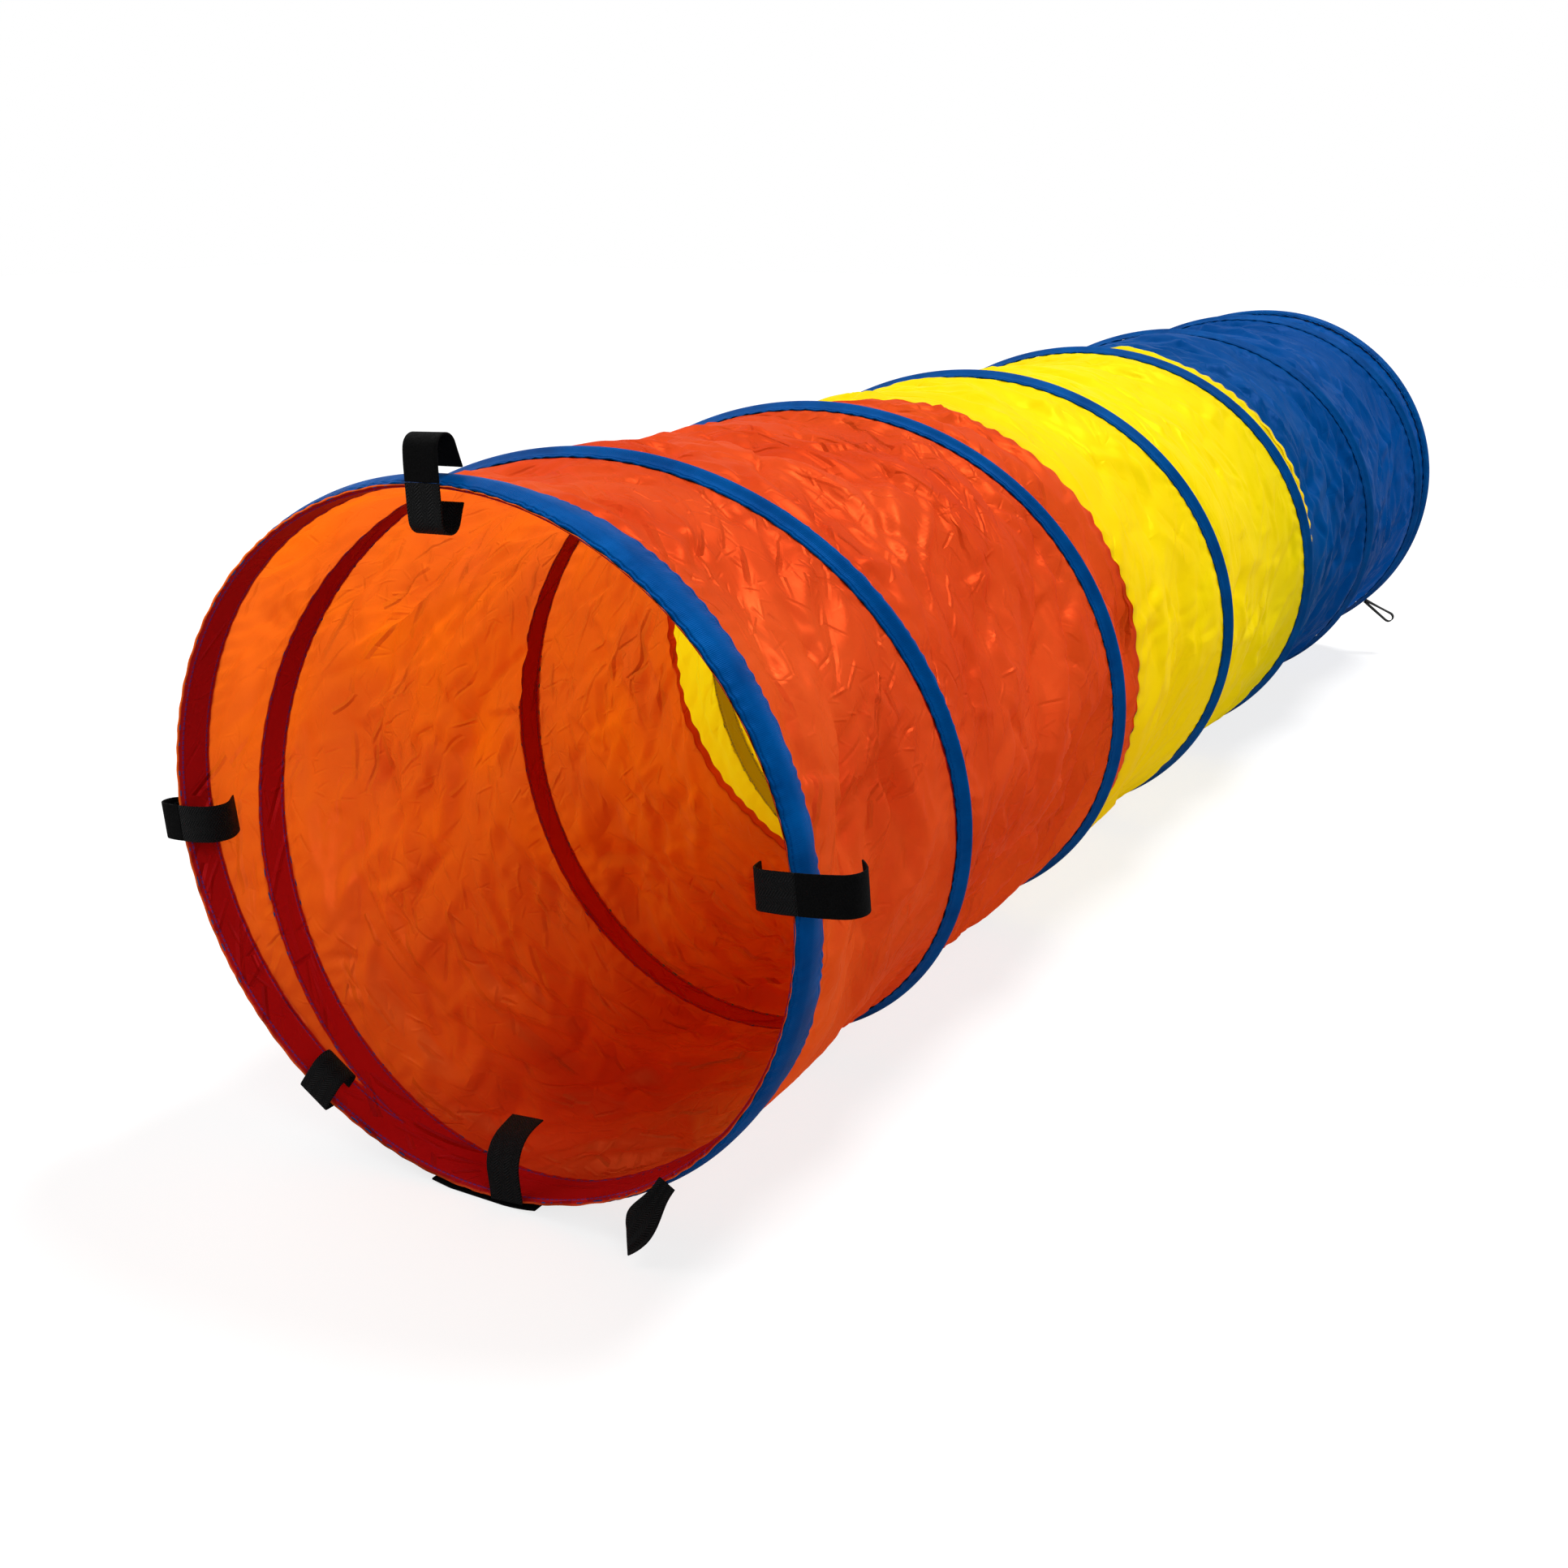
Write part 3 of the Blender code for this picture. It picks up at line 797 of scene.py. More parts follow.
def grid_sheet(name: str, columns: int, rows: int, place: Field, material: bpy.types.Material,
               map_size: tuple[float, float], numbers: dict[str, Field] | None = None,
               closed: bool = False) -> bpy.types.Object:
    """Make a sheet from a grid whose points are moved to their places.

    Args:
        name: Name of the piece.
        columns: Cells along the grid.
        rows: Cells across the grid.
        place: Gives the points at arrays of columns and rows.
        material: The piece's material.
        map_size: Length and width of the piece's map, in metres.
        numbers: Gives the values of each named attribute at columns and rows.
        closed: Whether the last column joins the first.

    Returns:
        The piece.
    """
    mesh = bpy.data.meshes.new(name)
    with edited(mesh) as grid:
        grid.loops.layers.uv.new("cloth")
        bmesh.ops.create_grid(grid, x_segments=columns, y_segments=rows, size=1.0, calc_uvs=True)
    count = len(mesh.vertices)
    flat = np.empty(count * 3)
    mesh.vertices.foreach_get("co", flat)
    flat = flat.reshape(-1, 3)
    column = (flat[:, 0] + 1) / 2 * columns
    row = (flat[:, 1] + 1) / 2 * rows
    mesh.vertices.foreach_set("co", place(column, row).ravel())
    for key, value in (numbers or {}).items():
        layer = mesh.attributes.new(key, "FLOAT", "POINT")
        layer.data.foreach_set("value", value(column, row).astype(np.float32))
    uv = mesh.uv_layers["cloth"].data
    corners = np.empty(len(uv) * 2)
    uv.foreach_get("uv", corners)
    corners = corners.reshape(-1, 2) * np.array(map_size)
    uv.foreach_set("uv", corners.ravel())
    if closed:
        with edited(mesh) as weld:
            border = [vertex for vertex in weld.verts if vertex.is_boundary]
            bmesh.ops.remove_doubles(weld, verts=border, dist=1e-5)
    mesh.shade_smooth()
    mesh.materials.append(material)
    made = bpy.data.objects.new(name, mesh)
    bpy.context.scene.collection.objects.link(made)
    return made


def thicken(made: bpy.types.Object, thickness: float) -> None:
    """Give a sheet its thickness, on the side away from its face.

    Args:
        made: The sheet.
        thickness: Its thickness.
    """
    wall = made.modifiers.new("thickness", "SOLIDIFY")
    wall.thickness = thickness
    wall.offset = -1.0


def apply_modifiers(made: bpy.types.Object) -> None:
    """Make a piece's modifiers part of its mesh.

    Args:
        made: The piece.
    """
    bpy.context.view_layer.update()
    shape = made.evaluated_get(bpy.context.evaluated_depsgraph_get())
    old = made.data
    made.data = bpy.data.meshes.new_from_object(shape)
    made.modifiers.clear()
    bpy.data.meshes.remove(old)


def declare(made: bpy.types.Object, body: str, slot: Slot, nodes: Iterable[str]) -> None:
    """Set a finished piece on its body, and hide the nodes of the CAD model that it stands for.

    Args:
        made: The piece.
        body: Body that it rides on.
        slot: Slot of its material. Not used.
        nodes: Nodes of the CAD model that it stands for.
    """
    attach(made, body)
    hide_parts(*nodes)
    LOG.info("%s rides on %s: %d faces", made.name, body, len(made.data.polygons))


def fold_flat(made: bpy.types.Object) -> None:
    """Give a piece its own copy of its mesh.

    Args:
        made: The piece.
    """
    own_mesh(made)


def tape_numbers(columns: int, rows: int, length: float, width: float) -> dict[str, Field]:
    """Describe the attributes of a tape that are read by its material.

    Args:
        columns: Cells along the tape.
        rows: Cells across it.
        length: The tape's length.
        width: The tape's width.

    Returns:
        The distances from the nearest edge and along the tape, in millimetres.
    """
    return {"tape_edge": lambda column, row: np.minimum(row, rows - row) / rows * width * 1000,
            "tape_run": lambda column, row: column / columns * length * 1000}


# Pieces

# Cells round the tunnel in a sheet of cloth
CLOTH_COLUMNS = 456

# Step and height of the gathers beside a tape, height of the puckers beside a seam, and how far
# the cloth may stand out before it's held back
GATHER_STEP = 0.017
GATHER_HEIGHT = 0.0007
PUCKER_HEIGHT = 0.0009
PROUD = 0.002

# Distance from a tape or a seam at which creases have their full height, and the share of it
# that they have at a seam
CREASE_FREE = 0.022
CREASE_AT_SEAM = 0.25


def seam_wave(angle: Array, along: float) -> Array:
    """Return how far a seam wanders along the tunnel at each angle."""
    waves = np.sin(5 * angle + 9 * along) * 0.0015 + np.sin(17 * angle + 4 * along) * 0.0009
    return waves + np.sin(61 * angle + 2.4 * np.sin(7 * angle)) * 0.0006


def seam_pucker(angle: Array, along: Array) -> Array:
    """Return how far a seam's thread lifts the cloth at it."""
    return PUCKER_HEIGHT * np.sin(angle * 74 + 2.0 * np.sin(angle * 9 + along * 3))


@dataclass
class ClothPanel:
    """One of the three cloth panels, with its creases, gathers and the marks of its tapes.

    Attributes:
        name: Name of the piece.
        start: Where it starts along the tunnel.
        end: Where it ends.
        body: Body that it rides on.
        slot: Slot of its material.
        finish: Its cloth.
        seed: Seed of its random choices.
        crumple: Height of its creases, as a share of what their plans give.
        tunnel: The tunnel that it goes round.
        cell: Length of its cells along the tunnel.
        lip: How far its edge turns out at the mouth.
        overhang: How far that edge stands out before the mouth.
        crinkles: Its creases.
    """

    name: str
    start: float
    end: float
    body: str
    slot: Slot
    finish: Taffeta
    seed: int
    crumple: float = 1.0
    tunnel: Tunnel = field(default_factory=Tunnel)
    cell: float = 0.0031
    lip: float = 0.0026
    overhang: float = 0.0009
    crinkles: Crinkles = field(init=False)

    def __post_init__(self) -> None:
        """Choose the panel's creases."""
        self.crinkles = Crinkles(self.seed, self.start, self.end)

    def build(self) -> bpy.types.Object:
        """Returns:
            The panel.
        """
        tunnel = self.tunnel
        rows = round((self.end - self.start) / self.cell)
        step = 2 * math.pi / CLOTH_COLUMNS

        def position(column: Array, row: Array) -> tuple[Array, Array]:
            """Return the angle round the axis and the distance from the plane of the mouth."""
            angle = -math.pi / 2 - column * step
            first = self._edge(self.start, angle)
            last = self._edge(self.end, angle)
            along = first + (last - first) * row / rows
            return angle, np.where(row < rows - 0.5, along, last)

        def place(column: Array, row: Array) -> Array:
            """Return the cloth's points, with a lip at the mouth."""
            angle, along = position(column, row)
            radius = self._radius(angle, along)
            if self.start <= 0.0:
                radius = radius + np.where(row < 0.5, self.lip, 0.0)
            return tunnel.place(radius, angle, along)

        def beside(column: Array, row: Array) -> Array:
            """Return the distance outside the nearest tape's edge, in millimetres."""
            return tunnel.nearest_tape(*position(column, row))[0] * 1000

        def run(column: Array, row: Array) -> Array:
            """Return the distance run along that tape, in millimetres."""
            return tunnel.nearest_tape(*position(column, row))[1] * 1000

        def hem(column: Array, row: Array) -> Array:
            """Return 1 at the seam to the next panel and 0 elsewhere."""
            if self.end >= tunnel.length:
                return np.zeros_like(row)
            return np.where(row >= rows - 0.5, 1.0, 0.0)

        made = grid_sheet(self.name, CLOTH_COLUMNS, rows, place, self.finish.build(),
                          (tunnel.girth, self.end - self.start),
                          {"beside_tape": beside, "tape_run": run, "hem": hem}, closed=True)
        declare(made, self.body, self.slot, (f"{self.name}_front", f"{self.name}_rear"))
        fold_flat(made)
        return made

    def _edge(self, along: float, angle: Array) -> Array:
        """Find where a panel's edge runs: straight at a hoop and wavy at a seam.

        Args:
            along: Distance of the edge from the plane of the mouth.
            angle: Angle round the axis.

        Returns:
            That distance at each angle, with the edge's waves.
        """
        if along <= 0.0:
            return np.full_like(angle, -self.overhang)
        if along >= self.tunnel.length:
            return np.full_like(angle, self.tunnel.length)
        return along + seam_wave(angle, along)

    def _radius(self, angle: Array, along: Array) -> Array:
        """Find the cloth's distance from the axis.

        Args:
            angle: Angle round the axis.
            along: Distance from the plane of the mouth.

        Returns:
            The distance at each point.
        """
        tunnel = self.tunnel
        outside, run, hang = tunnel.nearest_tape(angle, along)
        loose = smooth_step(outside, 0.001, CREASE_FREE)
        seams = [seam for seam in (self.start, self.end) if 0 < seam < tunnel.length]
        for seam in seams:
            free = smooth_step(np.abs(along - seam), 0.0, CREASE_FREE)
            loose *= CREASE_AT_SEAM + (1 - CREASE_AT_SEAM) * free
        height = self.crinkles.at(angle, along) * loose * self.crumple
        uneven = Waves(np.random.default_rng(self.seed + 5), 0.09).at(angle, along)
        near = smooth_step(outside, -0.002, 0.004) * (1 - smooth_step(outside, 0.004, 0.024))
        height += GATHER_HEIGHT * near * np.sin(run * 2 * math.pi / GATHER_STEP + 2.2 * uneven)
        for seam in seams:
            beside_seam = 1 - smooth_step(np.abs(along - seam), 0.0, 0.018)
            height += beside_seam * seam_pucker(angle, along)
        height -= hang
        held = np.where(height > PROUD, PROUD + (height - PROUD) * 0.3, height)
        return tunnel.cloth_radius + held


@dataclass
class FelledSeam:
    """The folded and stitched strip inside the join of two panels.

    Attributes:
        name: Name of the piece.
        along: Where it is along the tunnel.
        body: Body that it rides on.
        slot: Slot of its material.
        finish: Its cloth.
        tunnel: The tunnel that it goes round.
        width: Its width.
        thickness: Its thickness.
        behind: How far inside the cloth it lies.
    """

    name: str
    along: float
    body: str
    slot: Slot
    finish: Taffeta
    tunnel: Tunnel = field(default_factory=Tunnel)
    width: float = 0.011
    thickness: float = 0.0006
    behind: float = 0.0007

    def build(self) -> bpy.types.Object:
        """Returns:
            The seam.
        """
        tunnel = self.tunnel
        columns, rows = CLOTH_COLUMNS, 6
        step = 2 * math.pi / columns

        def place(column: Array, row: Array) -> Array:
            """Return the seam's points, which follow the cloth."""
            angle = -math.pi / 2 - column * step
            along = self.along + seam_wave(angle, self.along) + self.width * (row / rows - 0.5)
            hang = tunnel.nearest_tape(angle, along)[2]
            radius = tunnel.cloth_radius - hang + seam_pucker(angle, along) - self.behind
            return tunnel.place(radius, angle, along)

        def far(column: Array, row: Array) -> Array:
            """Return a distance at which no tape shows, in millimetres."""
            return np.full_like(row, 9.0)

        def run(column: Array, row: Array) -> Array:
            """Return the distance round the tunnel, in millimetres."""
            return column * tunnel.girth / columns * 1000

        made = grid_sheet(self.name, columns, rows, place, self.finish.build(),
                          (tunnel.girth, self.width),
                          {"beside_tape": far, "tape_run": run}, closed=True)
        thicken(made, self.thickness)
        apply_modifiers(made)
        declare(made, self.body, self.slot, (self.name,))
        fold_flat(made)
        return made


@dataclass
class HoopTape:
    """The tape round a hoop: it wraps the rim and bulges over the wires.

    Attributes:
        end: End of the tunnel that it's on, front or rear.
        body: Body that it rides on.
        material: The tape's material.
        tunnel: The tunnel that it goes round.
        thickness: Its thickness.
        gather_step: Distance from one gather of its edges to the next.
        gather_height: Height of the gathers.
    """

    end: str
    body: str
    material: bpy.types.Material
    tunnel: Tunnel = field(default_factory=Tunnel)
    thickness: float = 0.0008
    gather_step: float = 0.012
    gather_height: float = 0.0005

    def build(self) -> bpy.types.Object:
        """Returns:
            The tape.
        """
        tunnel = self.tunnel
        columns, rows = 760, 18
        inset, radius = np.array([
            (0.0001, 0.2264), (0.0014, 0.2276), (0.0045, 0.2289), (0.0080, 0.2300),
            (0.0110, 0.2306), (0.0132, 0.2309), (0.0155, 0.2307), (0.0180, 0.2300),
            (0.0215, 0.2282), (0.0250, 0.2255)]).T
        share = np.concatenate(([0.0], np.cumsum(np.hypot(np.diff(inset), np.diff(radius)))))
        width = share[-1]
        share /= width
        mouth = self.end == "front"
        rng = np.random.default_rng(31 if mouth else 32)
        slow, ripple = Waves(rng, 0.16), Waves(rng, 0.05)

        def place(column: Array, row: Array) -> Array:
            """Return the tape's points, which are wider apart where the mouth's tape is loose."""
            angle = -math.pi / 2 - column * 2 * math.pi / columns
            part = row / rows if mouth else 1 - row / rows
            along = np.interp(part, share, inset)
            out = np.interp(part, share, radius)
            edge = np.abs(part - 0.5) * 2
            drift = slow.at(angle, np.zeros_like(angle))
            gather = np.sin(round(tunnel.tape_round / self.gather_step) * angle
                            + 2.4 * ripple.at(angle, np.zeros_like(angle)))
            out = out + self.gather_height * gather * smooth_step(edge, 0.25, 0.95)
            out = out + 0.0002 * drift
            along = along * (1 + 0.04 * drift * part)
            if mouth:
                flap = tunnel.mouth_tape(angle) - tunnel.hoop_tape
                along = along + flap * np.clip(part * 2.2 - 1.2, 0, 1)
            return tunnel.place(out, angle, along if mouth else tunnel.length - along)

        length = tunnel.tape_round
        made = grid_sheet(f"{self.end}_rim_binding", columns, rows, place, self.material,
                          (length, float(width)), tape_numbers(columns, rows, length, width),
                          closed=True)
        thicken(made, self.thickness)
        apply_modifiers(made)
        declare(made, self.body, Slot.TAPE, (f"{self.end}_hoop_tape",))
        return made


@dataclass
class CoilTape:
    """The long tape sewn over the coil's wire.

    Attributes:
        material: The tape's material.
        tunnel: The tunnel that it goes round.
        thickness: Its thickness.
        gather_step: Distance from one gather of its edges to the next.
        gather_height: Height of the gathers.
        tuck: How far it runs on under a hoop's tape.
    """

    material: bpy.types.Material
    tunnel: Tunnel = field(default_factory=Tunnel)
    thickness: float = 0.0008
    gather_step: float = 0.0105
    gather_height: float = 0.0005
    tuck: float = 0.0012

    def build(self) -> bpy.types.Object:
        """Returns:
            The tape.
        """
        tunnel = self.tunnel
        columns, rows = round(tunnel.coil_turns * 400), 12
        across, radius = np.array([(0.0, 0.2306), (0.0014, 0.2302), (0.0042, 0.2285),
                                   (0.0080, 0.2265), (0.0125, 0.2251)]).T
        rng = np.random.default_rng(33)
        slow, ripple = Waves(rng, 0.22), Waves(rng, 0.045)
        length = tunnel.tape_round * tunnel.coil_turns

        def place(column: Array, row: Array) -> Array:
            """Return the tape's points, with gathers at both edges."""
            turn = column / columns * tunnel.coil_turns
            angle = tunnel.coil_angle(turn)
            side = (row / rows - 0.5) * tunnel.coil_tape
            out = np.interp(np.abs(side), across, radius)
            edge = np.abs(side) / tunnel.coil_tape * 2
            along = tunnel.coil_along(turn)
            gather = np.sin(turn * tunnel.tape_round * 2 * math.pi / self.gather_step
                            + 1.8 * ripple.at(angle, along))
            out = out + self.gather_height * gather * smooth_step(edge, 0.4, 1.0)
            side = side * (1 + 0.07 * slow.at(angle, along))
            return tunnel.place(out, angle, along + side)

        made = grid_sheet("coil_binding", columns, rows, place, self.material,
                          (length, tunnel.coil_tape),
                          tape_numbers(columns, rows, length, tunnel.coil_tape))
        self._trim(made.data)
        thicken(made, self.thickness)
        apply_modifiers(made)
        declare(made, "front_end", Slot.TAPE, [f"coil_tape_{n}" for n in range(1, 7)])
        fold_flat(made)
        return made

    def _trim(self, mesh: bpy.types.Mesh) -> None:
        """Cut away what would lie under the hoops' tapes.

        Args:
            mesh: The tape's mesh.
        """
        reach = self.tunnel.length / 2 - self.tunnel.hoop_tape + self.tuck
        with edited(mesh) as cut:
            for side in (-1, 1):
                bmesh.ops.bisect_plane(cut, geom=cut.verts[:] + cut.edges[:] + cut.faces[:],
                                       dist=1e-6, plane_co=(0, side * reach, 0),
                                       plane_no=(0, side, 0), clear_outer=True)


@dataclass
class CoilWire:
    """The spring wire inside the coil's tape.

    Attributes:
        material: The wire's material.
        tunnel: The tunnel that it goes round.
        length: Its length, to the nearest metre.
    """

    material: bpy.types.Material
    tunnel: Tunnel = field(default_factory=Tunnel)
    length: float = 9.0

    def build(self) -> bpy.types.Object:
        """Returns:
            The wire.
        """
        tunnel = self.tunnel
        columns, sides = round(tunnel.coil_turns * 110), 8

        def place(column: Array, row: Array) -> Array:
            """Return the wire's points, which go round it in each column."""
            turn = column / columns * tunnel.coil_turns
            round_wire = -row / sides * 2 * math.pi
            out = tunnel.wire_radius + tunnel.wire_diameter / 2 * np.cos(round_wire)
            aside = tunnel.wire_diameter / 2 * np.sin(round_wire)
            return tunnel.place(out, tunnel.coil_angle(turn), tunnel.coil_along(turn) - aside)

        made = grid_sheet("coil_wire", columns, sides, place, self.material,
                          (self.length, tunnel.wire_diameter * 3), closed=True)
        with edited(made.data) as ends:
            loops = [edge for edge in ends.edges if edge.is_boundary]
            bmesh.ops.holes_fill(ends, edges=loops, sides=sides)
            bmesh.ops.recalc_face_normals(ends, faces=ends.faces)
        declare(made, "front_end", Slot.SPRING, [f"coil_turn_{n}" for n in range(1, 7)])
        fold_flat(made)
        return made


@dataclass
class Strap:
    """A strip of webbing that leaves its sewn root and bends about its width.

    Attributes:
        node: The CAD model's node, which is also the body that the strap rides on.
        root: Where it's sewn on.
        along: The way it points there.
        curl: The side that it bends to.
        stretches: Length of each stretch and the angle that it bends by.
        face: What its outer face is made of.
        width: Its width.
        thickness: Its thickness.
        sewn: Length of the straight stretch at the root.
        twist: How far its tip is turned.
        pinch: Share of the width that is left at the root.
    """

    node: str
    root: Sequence[float]
    along: Sequence[float]
    curl: Sequence[float]
    stretches: Sequence[Stretch]
    face: Face
    width: float = 0.025
    thickness: float = 0.0012
    sewn: float = 0.005
    twist: float = 0.0
    pinch: float = 1.0

    def build(self) -> bpy.types.Object:
        """Returns:
            The strap.
        """
        x, y, heading, length = self._path()
        columns, rows = len(x) - 1, 8
        frame = self._frame()
        turned = np.array(frame.to_3x3()).T
        origin = np.array(frame.translation)
        phase = np.random.default_rng(sum(map(ord, self.node))).uniform(0, 2 * math.pi)

        def place(column: Array, row: Array) -> Array:
            """Return the strap's points, with its pinch and its twist."""
            spot = column.round().astype(int)
            share = spot / columns
            side = (row / rows - 0.5) * self.width
            side *= self.pinch + (1 - self.pinch) * smooth_step(share, 0.1, 0.8)
            lift = 0.0005 * np.sin(share * 9 + phase) * (side / self.width * 2) * share
            turn = self.twist * share ** 3
            normal_x, normal_y = -np.sin(heading[spot]), np.cos(heading[spot])
            out = lift + np.sin(turn) * side
            point = np.column_stack((x[spot] + normal_x * out, y[spot] + normal_y * out,
                                     np.cos(turn) * side))
            return origin + point @ turned

        made = grid_sheet(f"{self.node}_webbing", columns, rows, place,
                          Webbing(self.face).build(), (length, self.width))
        thicken(made, self.thickness)
        soft = made.modifiers.new("edges", "BEVEL")
        soft.width = 0.00035
        soft.segments = 2
        soft.limit_method = "ANGLE"
        soft.angle_limit = math.radians(50)
        apply_modifiers(made)
        declare(made, self.node, Slot.STRAP, (self.node,))
        return made

    def _path(self) -> tuple[Array, Array, Array, float]:
        """Lay the strip out edge-on, with its bends eased into each other.

        Returns:
            Distance along the root's direction, distance towards the curl and heading at each
            point, and the strip's length.
        """
        step = 0.0012
        bends: list[float] = []
        for length, bend in [(self.sewn, 0.0), *self.stretches]:
            pieces = max(1, round(length / step))
            bends += [bend / pieces] * pieces
        kernel = np.array([1, 2, 3, 2, 1]) / 9
        eased = np.convolve(np.pad(bends, 2, mode="edge"), kernel, "valid")
        total = sum(length for length, _ in self.stretches) + self.sewn
        pace = total / len(eased)
        heading = np.concatenate(([0.0], np.cumsum(eased)))
        middle = (heading[1:] + heading[:-1]) / 2
        x = np.concatenate(([0.0], np.cumsum(pace * np.cos(middle))))
        y = np.concatenate(([0.0], np.cumsum(pace * np.sin(middle))))
        return x, y, heading, total

    def _frame(self) -> Matrix:
        """Find the strap's frame.

        Returns:
            The frame, with X along the strap at its root and Y to the side that it curls to.
        """
        x = Vector(self.along).normalized()
        curl = Vector(self.curl)
        y = (curl - x * curl.dot(x)).normalized()
        turned = Matrix((x, y, x.cross(y))).transposed()
        return Matrix.Translation(Vector(self.root)) @ turned.to_4x4()


def tie(side: str, degrees: float, outer_root: Sequence[float], inner_root: Sequence[float],
        outer: Sequence[Stretch], inner: Sequence[Stretch]) -> list[Strap]:
    """Describe the two strips of a tie.

    Args:
        side: Where the tie is on the rim.
        degrees: Angle of the tie round the tunnel.
        outer_root: Root of the fuzzy strip that points away from the axis.
        inner_root: Root of the hooked strip that points to the axis.
        outer: Lengths and bends of the outer strip.
        inner: Lengths and bends of the inner strip.

    Returns:
        The two straps.
    """
    angle = math.radians(degrees)
    away = Vector((math.cos(angle) / Tunnel.spread, 0.0, math.sin(angle)))
    return [Strap(f"{side}_loop_strap", outer_root, away, (0, 1, 0), outer, Face.FUZZY_LOOP),
            Strap(f"{side}_hook_strap", inner_root, -away, (0, 1, 0), inner, Face.TINY_HOOKS)]


def all_straps() -> list[Strap]:
    """List the straps that hang free. Their roots are at the hinges of the CAD model.

    Returns:
        The straps.
    """
    bend = math.radians
    straps = tie("top", 92, (-0.00818, -0.9015, 0.4589), (-0.00817, -0.9015, 0.4586),
                 [(0.014, bend(5)), (0.024, bend(155)), (0.016, bend(5))],
                 [(0.017, 0.0), (0.024, bend(160)), (0.012, 0.0)])
    straps += tie("right", 6, (0.23401, -0.9015, 0.25537), (0.23372, -0.9015, 0.25534),
                  [(0.023, bend(10)), (0.022, bend(110)), (0.014, bend(10))],
                  [(0.020, bend(12)), (0.007, bend(70)), (0.008, bend(14))])
    straps += tie("left", 184, (-0.23432, -0.9015, 0.2156), (-0.23402, -0.9015, 0.21562),
                  [(0.009, bend(10)), (0.042, bend(300))],
                  [(0.017, bend(20)), (0.020, bend(100)), (0.015, bend(10))])
    straps.append(Strap("bottom_hook_strap", (0.02456, -0.9015, 0.00469),
                        (-0.1015, 0.0, 0.9948), (0, 1, 0),
                        [(0.015, 0.0), (0.030, bend(75)), (0.015, bend(10))],
                        Face.TINY_HOOKS))
    straps.append(Strap("left_storage_strap", (-0.13253, -0.8875, 0.03901), (0, -1, 0),
                        (0.5441, 0.0, 0.839),
                        [(0.011, 0.0), (0.006, bend(95)), (0.020, bend(5)),
                         (0.026, bend(185)), (0.006, 0.0)], Face.WEBBING))
    straps.append(Strap("right_storage_strap", (0.14662, -0.9003, 0.05326),
                        (-0.4866, -0.1335, -0.8634), (0.0, -1.0, 0.0),
                        [(0.0465, 0.0)], Face.WEBBING, twist=bend(-57), pinch=0.5))
    splay, half_gap = bend(7), 0.00135
    leg = LOOP_LENGTH / (1 + math.sin(splay))
    turn = math.pi + 2 * splay
    turn_radius = (half_gap + leg * math.sin(splay)) / math.cos(splay)
    loop = [(leg - Strap.sewn, 0.0), (turn_radius * turn, turn), (leg, 0.0)]
    for side, root, along, curl in (
            ("right", (0.16761, 0.8875, 0.06702), (0.8014, 0, -0.5981), (0.5981, 0, 0.8014)),
            ("left", (-0.16895, 0.8875, 0.06937), (-0.9223, 0, -0.3865), (0.3865, 0, -0.9223))):
        straps.append(Strap(f"{side}_storage_loop", root, along, curl, loop, Face.WEBBING,
                            width=0.010))
    return straps


@dataclass
class FloorStrap:
    """The bottom tie's outer strip, which lies flat between the rim and the floor.

    Attributes:
        tunnel: The tunnel whose rim it's sewn to.
        start: Angle of its sewn end.
        end: Angle of its free end.
        radius: Distance of its outer face from the axis.
        length: Its length.
        width: Its width.
        thickness: Its thickness.
    """

    tunnel: Tunnel = field(default_factory=Tunnel)
    start: float = math.radians(281)
    end: float = math.radians(261)
    radius: float = 0.2322
    length: float = 0.081
    width: float = 0.025
    thickness: float = 0.0012

    def build(self) -> bpy.types.Object:
        """Returns:
            The strap.
        """
        columns, rows = 56, 8

        def place(column: Array, row: Array) -> Array:
            """Return the strap's points, which stay above the floor."""
            share = column / columns
            angle = self.start + (self.end - self.start) * share
            side = row / rows * self.width
            radius = self.radius + 0.0002 * np.sin(share * 11)
            point = self.tunnel.place(radius, angle, side)
            point[:, 2] = np.maximum(point[:, 2], 0.0002)
            return point

        made = grid_sheet("bottom_loop_strap_webbing", columns, rows, place,
                          Webbing(Face.FUZZY_LOOP).build(), (self.length, self.width))
        thicken(made, self.thickness)
        apply_modifiers(made)
        declare(made, "bottom_loop_strap", Slot.STRAP, ("bottom_loop_strap",))
        return made


# Studio


def grey(level: float) -> tuple[float, float, float, float]:
    """Return a grey of this level."""
    return (level, level, level, 1.0)


